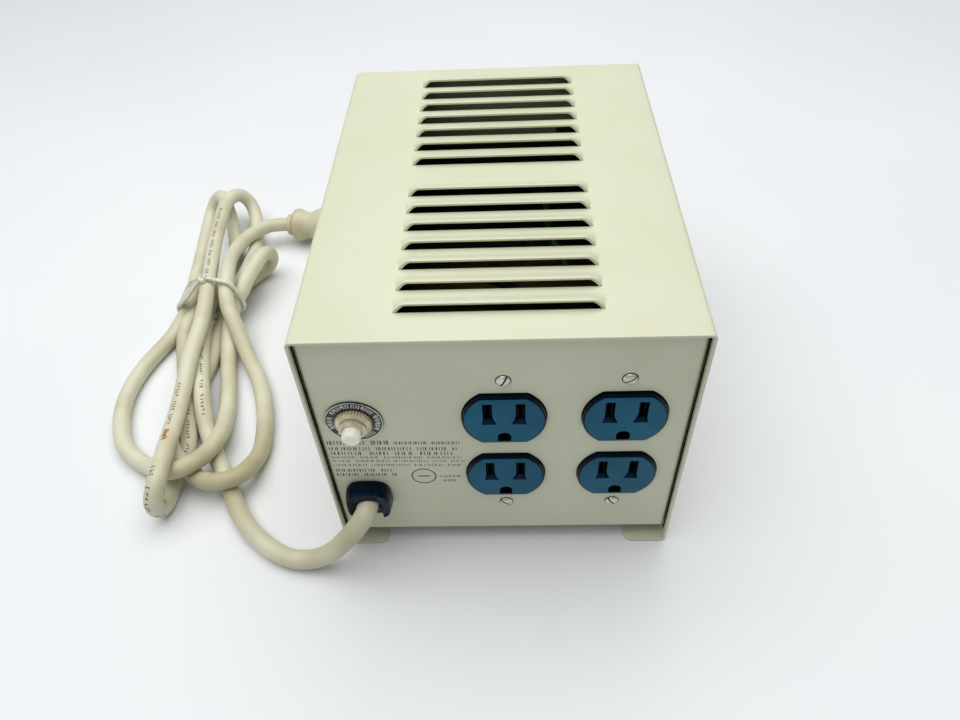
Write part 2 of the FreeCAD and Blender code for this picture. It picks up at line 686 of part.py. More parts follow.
relief_outline(s, 10.3, 10.0, 9.6, 3.4)
pad(rel, s, Q(3.0))
s = sketch(rel, "XZ_Plane", -(yp - 3.0))
relief_outline(s, 9.3, 9.3, 8.9, 3.2)
pad(rel, s, Q(4.2))
s = sketch(rel, "XZ_Plane", -(yb + 11.0))
relief_outline(s, 6.9, 7.7, 7.7, 2.2)
pad(rel, s, gauge + 11.2)
rel_bore = cyl("y", rel_x + 0.4, yp - 12, rel_z, cord_d + 0.1, 40.0)
jaw_gap = box(rel_x - 3.6, rel_x + 3.6, yp + 3.4, yb + 12.0, rel_z - 9.0, rel_z - 3.0)
node("strain_relief_body", cut(rel, rel_bore, jaw_gap))
jaw = box(rel_x - 3.5, rel_x + 3.5, yp + 3.6, yb + 11.0, rel_z - 7.6, rel_z - 3.2)
jaw_cut = cyl("y", rel_x + 0.4, yp - 12, rel_z, cord_d + 0.1, 40.0)
node("strain_relief_jaw", cut(jaw, jaw_cut))


# ---- 7. mains cord ------------------------------------------------------------------------
def tube_path(points, closed=False):
    """Straight runs joined by tangent arcs; each arc is as large as its two runs allow."""
    pts = [V(*p) for p in points]
    edges, here, radii = [], pts[0], []
    for i in range(1, len(pts) - 1):
        a, b, c = pts[i - 1], pts[i], pts[i + 1]
        u, w = (b - a), (c - b)
        la, lb = u.Length, w.Length
        u.normalize()
        w.normalize()
        turn = math.acos(max(-1.0, min(1.0, u.dot(w))))
        r = 0.45 * min(la, lb) / math.tan(turn / 2)
        cut_ = 0.45 * min(la, lb)
        p1, p2 = b - u * cut_, b + w * cut_
        bis = (w - u)
        bis.normalize()
        centre = b + bis * (r / math.cos(turn / 2))
        mid = centre - bis * r
        if (p1 - here).Length > 1e-6:
            edges.append(Part.LineSegment(here, p1).toShape())
        edges.append(Part.Arc(p1, mid, p2).toShape())
        here = p2
        radii.append((round(r, 1), round(math.degrees(turn))))
    edges.append(Part.LineSegment(here, pts[-1]).toShape())
    return Part.Wire(edges), radii


def tube_of(name, points, dia):
    wire, radii = tube_path(points)
    e0 = wire.Edges[0]
    p0 = e0.valueAt(e0.FirstParameter)
    d0 = e0.tangentAt(e0.FirstParameter)
    prof = Part.Wire([Part.Edge(Part.Circle(p0, d0, dia / 2))])
    shp = wire.makePipeShell([prof], True, False)
    want = math.pi * dia * dia / 4 * wire.Length
    print("%s length %.1f radii/turns %s volume ratio %.4f" % (name, wire.Length, radii, shp.Volume / want))
    if abs(shp.Volume / want - 1) > 0.02:
        raise RuntimeError(name + " volume is off")
    o = doc.addObject("Part::Feature", nm("Tube"))
    o.Shape = shp
    o.Placement = FreeCAD.Placement()
    return o


F = fy.v
D = cord_d.v
lead_pts = [(-60.8, F - 1.1, 41.0), (-61.4, F - 6.6, 40.8), (-63.9, F - 10.8, 38.2), (-67.4, F - 12.4, 33.6),
            (-72.2, F - 12.9, 26.8), (-78.2, F - 12.9, 18.2), (-85.0, F - 12.5, 10.6), (-93.6, F - 12.1, 6.0),
            (-103.2, F - 10.9, 4.8), (-112.4, F - 6.9, 4.8), (-120.2, F - 0.8, 4.8), (-127.5, F + 5.4, 4.8),
            (-132.2, F + 11.2, 4.8), (-137.2, F + 19.3, 4.8), (-140.8, F + 26.6, 4.8)]
node("cord_lead", tube_of("cord_lead", lead_pts, D))
tail_pts = [(-170.9, F + 240.7, 14.5), (-168.0, F + 242.7, 14.8), (-164.9, F + 244.4, 15.0),
            (-161.0, F + 245.6, 14.9), (-155.6, F + 246.8, 14.3), (-150.2, F + 247.4, 13.7)]
node("cord_tail", tube_of("cord_tail", tail_pts, D))

# the tied hank, as one closed solid of its outer shape: lower sheet of loops, waist and upper strands
hk = body("Hank")
s = sketch(hk, "XY_Plane", 0.0)
low = [(-176.0, 9.0), (-171.0, 10.5), (-167.5, 26.0), (-155.5, 26.0), (-145.0, 23.5), (-134.0, 29.0),
       (-129.0, 41.0), (-128.0, 65.0), (-131.5, 83.5), (-138.0, 102.5), (-164.5, 152.0), (-164.5, 171.0),
       (-160.0, 180.0), (-151.0, 210.0), (-155.5, 214.5), (-166.0, 214.5), (-167.0, 216.0), (-174.5, 262.0),
       (-178.5, 273.0), (-182.0, 276.5), (-201.5, 277.0), (-207.5, 281.0), (-213.0, 281.0), (-217.5, 278.0),
       (-220.0, 272.0), (-220.0, 257.5), (-210.0, 177.0), (-210.0, 160.0), (-213.5, 142.5), (-223.5, 114.5),
       (-225.0, 91.0), (-221.0, 72.0), (-212.0, 54.5), (-203.0, 46.0), (-179.5, 30.5), (-180.0, 13.0)]
poly(s, [(x, F + y) for x, y in low])
pad(hk, s, Q(13.6))
s = sketch(hk, "XY_Plane", 13.0)
up = [(-176.0, 9.0), (-171.5, 10.0), (-167.5, 28.5), (-155.5, 28.5), (-145.0, 23.5), (-135.5, 27.5),
      (-133.0, 33.5), (-136.5, 37.0), (-151.0, 38.0), (-153.0, 56.0), (-165.0, 60.0), (-166.5, 77.5),
      (-172.0, 100.0), (-175.5, 125.0), (-161.0, 133.5), (-157.5, 137.0), (-164.5, 152.0), (-164.5, 171.0),
      (-159.0, 185.0), (-151.0, 210.0), (-155.5, 214.5), (-166.0, 213.0), (-176.0, 216.0), (-176.5, 224.0),
      (-171.0, 237.5), (-174.5, 241.0), (-184.0, 243.0), (-191.0, 250.0), (-188.0, 264.0), (-179.0, 270.0),
      (-181.5, 276.5), (-201.5, 277.0), (-207.5, 281.0), (-213.0, 281.0), (-217.0, 275.0), (-206.5, 269.0),
      (-200.0, 256.5), (-200.0, 224.0), (-190.5, 176.5), (-190.5, 148.0), (-186.0, 125.5), (-182.5, 67.0),
      (-184.5, 35.5), (-178.0, 30.0), (-178.0, 18.0), (-180.0, 13.0)]
poly(s, [(x, F + y) for x, y in up])
pad(hk, s, Q(16.5))
hank_slot = box(-212.0, -162.0, F + 161.0, F + 169.4, -1.0, 2.4)
node("cord_hank", cut(hk, hank_slot))

# rubber tie round the waist of the hank
wl, wr = -210.3, -164.2
outer = box(wl - 1.8, wr + 1.8, F + 161.6, F + 168.8, 0.2, 32.0)
inner = box(wl - 0.0, wr + 0.0, F + 160.0, F + 170.0, 2.3, 30.2)
node("cord_tie", cut(outer, inner))

# ---- 8. plug ----------------------------------------------------------------------------------
plug_c = V(-152.2, F + 247.5, 13.7)
plg = body("Plug")
s = sketch(plg, "XY_Plane", 0.0)
poly(s, [(0, 0), (6.6, 0), (7.4, 0.8), (7.5, 4.2), (10.2, 5.2), (11.6, 7.4), (11.7, 9.4), (10.9, 12.0), (9.5, 15.0),
         (9.5, 17.4), (11.2, 21.0), (13.0, 25.6), (13.5, 30.0), (13.5, 42.0), (12.4, 43.6), (0, 43.6)])
rev = plg.newObject("PartDesign::Revolution", nm("Turned"))
rev.Profile = s
rev.ReferenceAxis = (s, ["V_Axis"])
rev.Angle = 360
doc.recompute()
plug_rot = FreeCAD.Rotation(V(0, 0, 1), -94)
plg.Placement = FreeCAD.Placement(plug_c, plug_rot)


def on_plug(o):
    o.Placement = FreeCAD.Placement(plug_c, plug_rot).multiply(o.Placement)
    return o


def pbox(x0, x1, y0, y1, z0, z1):
    o = doc.addObject("Part::Box", nm("Blade"))
    o.Length, o.Width, o.Height = x1 - x0, y1 - y0, z1 - z0
    o.Placement = FreeCAD.Placement(V(x0, y0, z0), FreeCAD.Rotation())
    return on_plug(o)


sock = [pbox(-7.2, -5.6, 38.0, 44.6, -1.3, 5.1), pbox(5.6, 7.2, 38.0, 44.6, -1.3, 5.1)]
pin_sock = doc.addObject("Part::Cylinder", nm("Pin"))
pin_sock.Radius, pin_sock.Height = 2.4, 6.6
pin_sock.Placement = FreeCAD.Placement(V(0, 38.0, -8.2), AX["y"])
on_plug(pin_sock)
node("plug_body", cut(plg, sock[0], sock[1], pin_sock))
blades = []
for sx in (-6.4, 6.4):
    b1 = pbox(sx - 0.76, sx + 0.76, 38.1, 60.4, -1.25, 5.05)
    h1 = doc.addObject("Part::Cylinder", nm("Pin"))
    h1.Radius, h1.Height = 1.6, 4.0
    h1.Placement = FreeCAD.Placement(V(sx - 2.0, 55.4, 1.9), AX["x"])
    on_plug(h1)
    blades.append(cut(b1, h1))
node("plug_blades", group(*blades))
gp = doc.addObject("Part::Cylinder", nm("Pin"))
gp.Radius, gp.Height = 2.35, 22.6
gp.Placement = FreeCAD.Placement(V(0, 38.1, -8.2), AX["y"])
on_plug(gp)
ge = doc.addObject("Part::Cone", nm("Pin"))
ge.Radius1, ge.Radius2, ge.Height = 2.35, 1.2, 2.0
ge.Placement = FreeCAD.Placement(V(0, 60.7, -8.2), AX["y"])
on_plug(ge)
node("plug_ground_pin", fuse(gp, ge))

# ---- 9. transformer -------------------------------------------------------------------------------
cy0, cy1 = core_y - core_t / 2, core_y + core_t / 2
cz1 = core_z + core_h
win_x = core_leg
blk = box(-core_w / 2, core_w / 2, cy0, cy1, core_z, cz1)
wins = [box(core_leg, core_leg * 2, cy0 - 1, cy1 + 1, core_z + core_leg, cz1 - core_leg),
        box(-core_leg * 2, -core_leg, cy0 - 1, cy1 + 1, core_z + core_leg, cz1 - core_leg)]
holes = [cyl("y", (core_w / 2 - 6.0) * sx, cy0 - 1, z, 5.6, core_t + 2)
         for sx in (-1, 1) for z in (core_z + 6.0, cz1 - 6.0)]
node("core_laminations", cut(blk, *(wins + holes)))

wz0, wz1 = core_z + core_leg + 0.3, cz1 - core_leg - 0.3
lx, ly = core_leg + 0.3, core_t / 2 + 0.3


def ring(gap, thick, z0, z1):
    """Rectangular sleeve round the centre leg."""
    o_ = box(-(lx + gap + thick), lx + gap + thick, core_y - (ly + gap + thick), core_y + ly + gap + thick, z0, z1)
    i_ = box(-(lx + gap), lx + gap, core_y - (ly + gap), core_y + ly + gap, q(z0) - 1, q(z1) + 1)
    return cut(o_, i_)


def ring2(gap, thick, z0, z1, extra):
    """Sleeve whose ends bulge further past the stack than its sides do."""
    o_ = box(-(lx + gap + thick), lx + gap + thick, core_y - (ly + gap + thick + extra),
             core_y + ly + gap + thick + extra, z0, z1)
    i_ = box(-(lx + gap), lx + gap, core_y - (ly + gap), core_y + ly + gap, q(z0) - 1, q(z1) + 1)
    return cut(o_, i_)


bob = fuse(ring(0.0, 1.2, wz0, wz1), ring(1.0, 20.0, wz0, wz0 + 1.4), ring(1.0, 20.0, wz1 - 1.4, wz1))
node("coil_bobbin", bob)
node("primary_winding", ring(1.3, 8.2, wz0 + 1.6, wz1 - 1.6))
node("electrostatic_shield", ring(9.6, 0.3, wz0 + 2.0, wz1 - 2.0))
node("secondary_winding", ring(10.0, 8.6, wz0 + 1.6, wz1 - 1.6))
node("coil_wrap", ring(18.7, 0.7, wz0 + 1.5, wz1 - 1.5))

# clamp frames: an angle along the bottom and a bar along the top on each face of the stack
frames = []
for sg in (-1, 1):
    yy0 = (cy0 - 2.1) if sg < 0 else cy1 + 0.1
    plate_ = box(-core_w / 2, core_w / 2, yy0, yy0 + 2.0, pan_z + gauge + 0.1, core_z + 19.0)
    legy = (cy0 - 20.0) if sg < 0 else cy1 + 0.1
    leg = box(-core_w / 2, core_w / 2, legy, legy + 19.9, pan_z + gauge + 0.1, pan_z + gauge + 2.1)
    hs = [cyl("y", (core_w / 2 - 6.0) * sx, yy0 - 1, core_z + 6.0, 5.6, 4.0) for sx in (-1, 1)]
    hs += [cyl("z", bolt_x * sx, core_y + bolt_dy * sg, pan_z, 5.6, 6.0) for sx in (-1, 1)]
    frames.append(cut(fuse(plate_, leg), *hs))
node("core_clamp_angles", group(*frames))
bars = []
for sg in (-1, 1):
    yy0 = (cy0 - 2.1) if sg < 0 else cy1 + 0.1
    bar = box(-core_w / 2, core_w / 2, yy0, yy0 + 2.0, cz1 - 18.0, cz1)
    hs = [cyl("y", (core_w / 2 - 6.0) * sx, yy0 - 1, cz1 - 6.0, 5.6, 4.0) for sx in (-1, 1)]
    bars.append(cut(bar, *hs))
node("core_clamp_bars", group(*bars))
cbolts, cnuts = [], []
for sx in (-1, 1):
    for z in (core_z + 6.0, cz1 - 6.0):
        x = (core_w / 2 - 6.0) * sx
        hd = hexagon("y", x, cy0 - 5.7, z, 8.0, 3.5)
        cbolts.append(fuse(hd, cyl("y", x, cy0 - 3.0, z, 4.9, core_t + 12.0)))
        cnuts.append(cut(hexagon("y", x, cy1 + 2.2, z, 8.0, 4.0), cyl("y", x, cy1 + 1, z, 5.0, 8.0)))
node("core_bolts", group(*cbolts))
node("core_bolt_nuts", group(*cnuts))
mscr, mnut = [], []
for sx in (-1, 1):
    for sy in (-1, 1):
        x, y = bolt_x * sx, core_y + bolt_dy * sy
        hd = cone("z", x, y, pan_z - 2.9, 7.0, 9.4, 2.85)
        sl = box(x - 5, x + 5, y - 0.6, y + 0.6, pan_z - 3.2, pan_z - 1.7)
        mscr.append(cut(fuse(hd, cyl("z", x, y, pan_z - 1.0, 4.9, 12.0)), sl))
        mnut.append(cut(hexagon("z", x, y, pan_z + gauge + 2.2, 8.0, 4.0),
                        cyl("z", x, y, pan_z + gauge + 1.0, 5.0, 8.0)))
node("transformer_mount_screws", group(*mscr))
node("transformer_mount_nuts", group(*mnut))

# ---- 10. ground stud --------------------------------------------------------------------------------
gx, gy = Q(-45.0), fy + 32.0
stud = fuse(cone("z", gx, gy, pan_z - 1.9, 5.6, 7.4, 1.85), cyl("z", gx, gy, pan_z - 0.5, 4.0, 14.0))
node("ground_stud", stud)
node("ground_stud_nut", cut(hexagon("z", gx, gy, pan_z + gauge + 1.3, 7.0, 3.2),
                            cyl("z", gx, gy, pan_z + gauge, 4.1, 6.0)))
node("ground_ring_terminal", cut(fuse(cyl("z", gx, gy, pan_z + gauge + 0.1, 9.0, 1.0),
                                      box(gx - 2.2, gx + 2.2, gy, gy + 12.0, pan_z + gauge + 0.1, pan_z + gauge + 1.1)),
                                 cyl("z", gx, gy, pan_z + gauge - 1, 4.2, 4.0)))


# ---- 11. wiring inside ---------------------------------------------------------------------------------
def wires(name, runs, dia):
    out = []
    for i, pts in enumerate(runs):
        out.append(tube_of("%s_%d" % (name, i), pts, dia))
    return node(name, group(*out) if len(out) > 1 else out[0])


B = yb.v
node("cord_inner_jacket", tube_of("cord_inner_jacket",
     [(rel_x.v + 0.4, B + 11.3, 41.0), (rel_x.v + 0.4, B + 18.0, 41.0), (rel_x.v + 2.0, B + 24.0, 43.0)], D))
wires("wires_black", [
    [(-58.2, B + 25.4, 46.2), (-58.6, B + 32.0, 52.0), (-59.6, B + 40.0, 62.0), (-60.0, B + 48.0, 72.0),
     (-60.0, B + 50.0, 82.0), (-60.0, B + 47.5, 84.8)],
    [(-60.0, B + 47.6, 102.8), (-58.0, B + 52.0, 108.0), (-50.0, B + 56.0, 118.0), (-30.0, B + 54.0, 124.0),
     (-10.0, B + 50.0, 126.0), (8.0, B + 48.0, 120.0)],
    [(26.6, B + 44.0, 112.0), (25.8, B + 36.0, 102.0), (24.8, B + 24.0, 92.0), (23.4, B + 17.0, 87.0)]], 3.4)
wires("wires_white", [
    [(-62.0, B + 25.6, 42.0), (-56.0, B + 34.0, 44.0), (-44.0, B + 40.0, 52.0), (-34.0, B + 38.0, 60.0),
     (-24.0, B + 30.0, 66.0), (-18.8, B + 20.0, 66.0)]], 3.4)
wires("wires_green", [
    [(-57.6, B + 25.8, 40.4), (-54.0, B + 34.0, 34.0), (-50.0, B + 42.0, 26.0), (-45.6, B + 44.6, 18.0)],
    [(30.0, cy0.v - 24.0, 120.0), (28.0, cy0.v - 18.0, 127.0), (21.5, cy0.v - 8.0, 131.6), (22.0, cy0.v + 8.0, 132.6),
     (20.0, cy0.v + 26.0, 132.4), (14.0, cy0.v + 44.0, 132.2)]], 3.2)
node("wire_connector", cut(cone("x", 10.4, B + 46.6, 118.4, 9.0, 6.2, 13.0),
                           cyl("x", 9.0, B + 46.6, 118.4, 4.4, 9.0)))

# ---- 12. rocker switch in the opposite panel -------------------------------------------------------------
so = yr + 1.6
flg = box(sw_x - 12.4, sw_x + 12.4, yr + 0.03, so, sw_z - 16.0, sw_z + 16.0)
bod = box(sw_x - 10.4, sw_x + 10.4, yr - 18.0, yr + 0.5, sw_z - 13.7, sw_z + 13.7)
well = box(sw_x - 8.9, sw_x + 8.9, yr - 12.0, so + 1, sw_z - 12.9, sw_z + 12.9)
piv_y = yr - 3.6
phole = cyl("x", sw_x - 9.9, piv_y, sw_z, 3.1, 19.8)
node("switch_body", cut(fuse(flg, bod), well, phole))

rk = body("Rocker")
s = sketch(rk, "YZ_Plane", 0.0)
poly(s, [(-4.6, -7.6), (4.0, -11.0), (8.3, -11.3), (5.9, 0.0), (8.3, 11.3), (4.0, 11.0), (-4.6, 7.6)])
pad(rk, s, Q(17.4), mid=True)
fillet(rk, 0.7, lambda e: along(e, "x") and e.CenterOfMass.y > 5.0)
rk.Placement = FreeCAD.Placement(V(sw_x.v, piv_y.v, sw_z.v), FreeCAD.Rotation(V(1, 0, 0), -12))
bind(rk, "Placement.Base.x", sw_x)
bind(rk, "Placement.Base.y", piv_y)
bind(rk, "Placement.Base.z", sw_z)
pin = cyl("x", sw_x - 9.8, piv_y, sw_z, 3.0, 19.6)
node("switch_rocker", fuse(rk, pin))
tabs = []
for zz in (-8.0, 0.0, 8.0):
    tabs.append(box(sw_x - 3.15, sw_x + 3.15, yr - 28.0, yr - 18.05, sw_z + zz - 0.4, sw_z + zz + 0.4))
node("switch_terminals", group(*tabs))

# ---- check and write ----------------------------------------------------------------------------------------
doc.recompute()
bad = []
for o in doc.Objects:
    if any(w in o.State for w in ("Invalid", "Error")):
        bad.append("%s (%s) %s" % (o.Name, o.Label, o.State))
for o in nodes:
    if o.Shape.isNull() or not o.Shape.isValid():
        bad.append("%s shape not valid" % o.Label)
    elif not o.Shape.Solids:
        bad.append("%s has no solid" % o.Label)
if bad:
    raise RuntimeError("\n".join(bad))
labels = [o.Label for o in nodes]
if len(set(labels)) != len(labels):
    raise RuntimeError("two sub-parts share a name")
os.makedirs("parts", exist_ok=True)
for f_ in os.listdir("parts"):
    if f_.endswith(".step") and f_[:-5] not in labels:
        os.remove(os.path.join("parts", f_))
whole = FreeCAD.BoundBox()
for o in nodes:
    o.Shape.exportStep("parts/%s.step" % o.Label)
    if o.Label not in ("cord_lead", "cord_tail", "cord_hank", "cord_tie", "plug_body", "plug_blades",
                       "plug_ground_pin"):
        whole.add(o.Shape.BoundBox)
print(len(nodes), "sub-parts; object box without the cord", whole)
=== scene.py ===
import bpy
import bmesh
import math
import random
from mathutils import Matrix, Vector


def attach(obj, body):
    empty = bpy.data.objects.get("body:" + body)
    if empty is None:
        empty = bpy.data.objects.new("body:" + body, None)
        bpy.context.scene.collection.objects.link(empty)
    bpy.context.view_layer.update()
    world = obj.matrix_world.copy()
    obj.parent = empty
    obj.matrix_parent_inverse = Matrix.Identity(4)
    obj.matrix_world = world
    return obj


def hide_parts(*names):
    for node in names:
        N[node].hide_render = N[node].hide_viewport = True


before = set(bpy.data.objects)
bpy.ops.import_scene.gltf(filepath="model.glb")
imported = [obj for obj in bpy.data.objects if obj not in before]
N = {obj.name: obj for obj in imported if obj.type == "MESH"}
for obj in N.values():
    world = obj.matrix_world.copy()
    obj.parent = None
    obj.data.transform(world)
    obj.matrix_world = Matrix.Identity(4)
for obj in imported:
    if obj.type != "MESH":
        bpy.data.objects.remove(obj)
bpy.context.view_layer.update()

random.seed(7)
FY = -0.103675
sc = bpy.context.scene


# ---------------------------------------------------------------- camera
cam_data = bpy.data.cameras.new("cam")
cam_data.sensor_width = 36.0
cam_data.lens = 28.315
cam_data.clip_start = 0.01
cam = bpy.data.objects.new("cam", cam_data)
sc.collection.objects.link(cam)
cam.matrix_world = Matrix((
    (0.999113, 0.018686, 0.037736, 0.003409),
    (0.012400, 0.725858, -0.687733, -0.294603),
    (-0.040242, 0.687591, 0.724982, 0.331894),
    (0, 0, 0, 1)))
sc.camera = cam
sc.view_settings.view_transform = "Standard"

# ---------------------------------------------------------------- mains cord
ROUTE = [
    (-0.06080, -0.10467, 0.04100), (-0.06140, -0.11028, 0.04080), (-0.06390, -0.11448, 0.03820),
    (-0.06740, -0.11608, 0.03360), (-0.07220, -0.11658, 0.02680), (-0.07820, -0.11658, 0.01820),
    (-0.08500, -0.11618, 0.01060), (-0.09360, -0.11577, 0.00600), (-0.10320, -0.11458, 0.00480),
    (-0.11240, -0.11058, 0.00480), (-0.12020, -0.10448, 0.00480), (-0.12749, -0.09830, 0.00473),
    (-0.13165, -0.09266, 0.00475), (-0.13593, -0.08709, 0.00475), (-0.14244, -0.07475, 0.00463),
    (-0.15022, -0.06168, 0.00486), (-0.15839, -0.04820, 0.00455), (-0.16522, -0.03531, 0.00535),
    (-0.16835, -0.02560, 0.01190), (-0.17141, -0.01382, 0.01539), (-0.17574, 0.00211, 0.01479),
    (-0.18090, 0.02004, 0.01366), (-0.18498, 0.03954, 0.01185), (-0.18644, 0.05500, 0.01370),
    (-0.18566, 0.06233, 0.01629), (-0.18258, 0.06663, 0.01873), (-0.17820, 0.06869, 0.02038),
    (-0.17363, 0.07180, 0.01962), (-0.17094, 0.07731, 0.01784), (-0.16998, 0.08425, 0.01548),
    (-0.16900, 0.09269, 0.01506), (-0.16976, 0.10476, 0.01261), (-0.17277, 0.12014, 0.00547),
    (-0.17522, 0.13986, 0.00416), (-0.17909, 0.15858, 0.00726), (-0.18169, 0.16631, 0.01074),
    (-0.18427, 0.16971, 0.01555), (-0.18732, 0.16965, 0.02065), (-0.19029, 0.16639, 0.02478),
    (-0.19267, 0.15985, 0.02710), (-0.19538, 0.15444, 0.02642), (-0.19520, 0.14618, 0.02604),
    (-0.19598, 0.12846, 0.02196), (-0.19298, 0.10485, 0.02228), (-0.18699, 0.07950, 0.02641),
    (-0.18279, 0.05770, 0.02873), (-0.18133, 0.04206, 0.02544), (-0.18124, 0.02685, 0.02337),
    (-0.18099, 0.01040, 0.02337), (-0.17973, -0.00475, 0.02277), (-0.17936, -0.01744, 0.01961),
    (-0.17861, -0.03123, 0.01857), (-0.17609, -0.04772, 0.02183), (-0.17286, -0.06482, 0.02678),
    (-0.17240, -0.07611, 0.02615), (-0.17229, -0.08233, 0.02537), (-0.17300, -0.08662, 0.02307),
    (-0.17421, -0.08950, 0.01891), (-0.17500, -0.09009, 0.01403), (-0.17511, -0.08852, 0.00946),
    (-0.17487, -0.08515, 0.00610), (-0.17455, -0.08050, 0.00455), (-0.17467, -0.07395, 0.00480),
    (-0.17426, -0.06169, 0.00451), (-0.17254, -0.04689, 0.00479), (-0.17626, -0.03221, 0.00774),
    (-0.17849, -0.01694, 0.00935), (-0.17846, 0.00090, 0.00546), (-0.17704, 0.01987, 0.00463),
    (-0.17906, 0.03759, 0.00470), (-0.17837, 0.05571, 0.00470), (-0.17934, 0.06824, 0.00822),
    (-0.17951, 0.07394, 0.01272), (-0.18030, 0.08230, 0.01464), (-0.18389, 0.09458, 0.00889),
    (-0.18638, 0.11476, 0.00540), (-0.18918, 0.13404, 0.00434), (-0.19390, 0.14837, 0.00673),
    (-0.19594, 0.15539, 0.01055), (-0.19714, 0.15823, 0.01688), (-0.19986, 0.16452, 0.02196),
    (-0.20503, 0.17152, 0.02108), (-0.21126, 0.17408, 0.01500), (-0.21541, 0.16926, 0.00720),
    (-0.21547, 0.15576, 0.00416), (-0.21148, 0.12912, 0.00504), (-0.20895, 0.10572, 0.00470),
    (-0.20676, 0.08491, 0.00477), (-0.20456, 0.06758, 0.00471), (-0.20591, 0.05397, 0.00474),
    (-0.20833, 0.03821, 0.00472), (-0.21577, 0.02096, 0.00476), (-0.21993, 0.00450, 0.00471),
    (-0.22047, -0.01166, 0.00492), (-0.21756, -0.02645, 0.00465), (-0.21465, -0.03385, 0.00484),
    (-0.21215, -0.03988, 0.00472), (-0.20904, -0.04478, 0.00475), (-0.20529, -0.04891, 0.00473),
    (-0.20107, -0.05268, 0.00476), (-0.19691, -0.05562, 0.00467), (-0.19211, -0.05849, 0.00516),
    (-0.18565, -0.06294, 0.00854), (-0.17783, -0.06841, 0.01423), (-0.17252, -0.07069, 0.01686),
    (-0.16760, -0.07057, 0.01809), (-0.16353, -0.06878, 0.01844), (-0.16056, -0.06584, 0.01802),
    (-0.15843, -0.06199, 0.01629), (-0.15696, -0.05674, 0.01426), (-0.15482, -0.05172, 0.01411),
    (-0.15364, -0.04474, 0.01291), (-0.15505, -0.03528, 0.00813), (-0.15766, -0.01912, 0.00476),
    (-0.16147, -0.00125, 0.00474), (-0.16621, 0.01676, 0.00470), (-0.16987, 0.03427, 0.00754),
    (-0.17135, 0.04936, 0.01068), (-0.16913, 0.06193, 0.01608), (-0.16492, 0.06736, 0.01944),
    (-0.16347, 0.07321, 0.02273), (-0.16181, 0.08303, 0.02257), (-0.15953, 0.09218, 0.02353),
    (-0.15722, 0.09800, 0.02399), (-0.15564, 0.10322, 0.02100), (-0.15525, 0.10611, 0.01573),
    (-0.15701, 0.10661, 0.01027), (-0.16052, 0.10516, 0.00624), (-0.16468, 0.10209, 0.00446),
    (-0.16812, 0.09691, 0.00478), (-0.17231, 0.09041, 0.00471), (-0.17606, 0.08401, 0.00482),
    (-0.18137, 0.07934, 0.00442), (-0.18690, 0.07505, 0.00482), (-0.19267, 0.06895, 0.00479),
    (-0.19618, 0.05996, 0.00714), (-0.19804, 0.05044, 0.00938), (-0.19884, 0.04274, 0.00794),
    (-0.19795, 0.03499, 0.00705), (-0.19410, 0.02039, 0.00498), (-0.18833, 0.00184, 0.00465),
    (-0.18645, -0.01749, 0.00472), (-0.18516, -0.03564, 0.00455), (-0.18198, -0.04592, 0.00974),
    (-0.17687, -0.05457, 0.01380), (-0.17305, -0.05989, 0.01415), (-0.16898, -0.06284, 0.01260),
    (-0.16612, -0.06465, 0.00978), (-0.16259, -0.06747, 0.00848), (-0.15848, -0.07094, 0.00930),
    (-0.15157, -0.07440, 0.01226), (-0.14588, -0.07550, 0.01398), (-0.14050, -0.07402, 0.01401),
    (-0.13625, -0.07032, 0.01230), (-0.13361, -0.06314, 0.00992), (-0.13283, -0.05572, 0.00586),
    (-0.13196, -0.04926, 0.00483), (-0.13208, -0.04219, 0.00467), (-0.13405, -0.02829, 0.00483),
    (-0.13807, -0.01294, 0.00477), (-0.14431, 0.00297, 0.00466), (-0.15316, 0.01825, 0.00541),
    (-0.15978, 0.03125, 0.01040), (-0.16578, 0.04187, 0.01779), (-0.16932, 0.04796, 0.02023),
    (-0.17085, 0.05252, 0.02331), (-0.17230, 0.05958, 0.02648), (-0.17367, 0.07491, 0.03042),
    (-0.17913, 0.09411, 0.02245), (-0.18204, 0.11332, 0.01545), (-0.17941, 0.12852, 0.01333),
    (-0.17316, 0.13533, 0.01433), (-0.16854, 0.13860, 0.01466), (-0.16527, 0.14071, 0.01500),
    (-0.16130, 0.14152, 0.01500), (-0.15560, 0.14323, 0.01440), (-0.14980, 0.14362, 0.01400),
]
crv = bpy.data.curves.new("power_cord", "CURVE")
crv.dimensions = "3D"
sp = crv.splines.new("NURBS")
sp.points.add(len(ROUTE) - 1)
for p, co in zip(sp.points, ROUTE):
    p.co = (co[0], co[1], co[2], 1.0)
sp.order_u = 3
sp.use_endpoint_u = True
sp.resolution_u = 6
crv.resolution_u = 6
crv.bevel_depth = 0.0047
crv.bevel_resolution = 7
crv.use_fill_caps = True
cord = bpy.data.objects.new("power_cord", crv)
sc.collection.objects.link(cord)


# ---------------------------------------------------------------- materials
def lin(h):
    h = h.lstrip("#")
    v = [int(h[i:i + 2], 16) / 255 for i in (0, 2, 4)]
    return tuple(x / 12.92 if x <= 0.04045 else ((x + 0.055) / 1.055) ** 2.4 for x in v) + (1.0,)


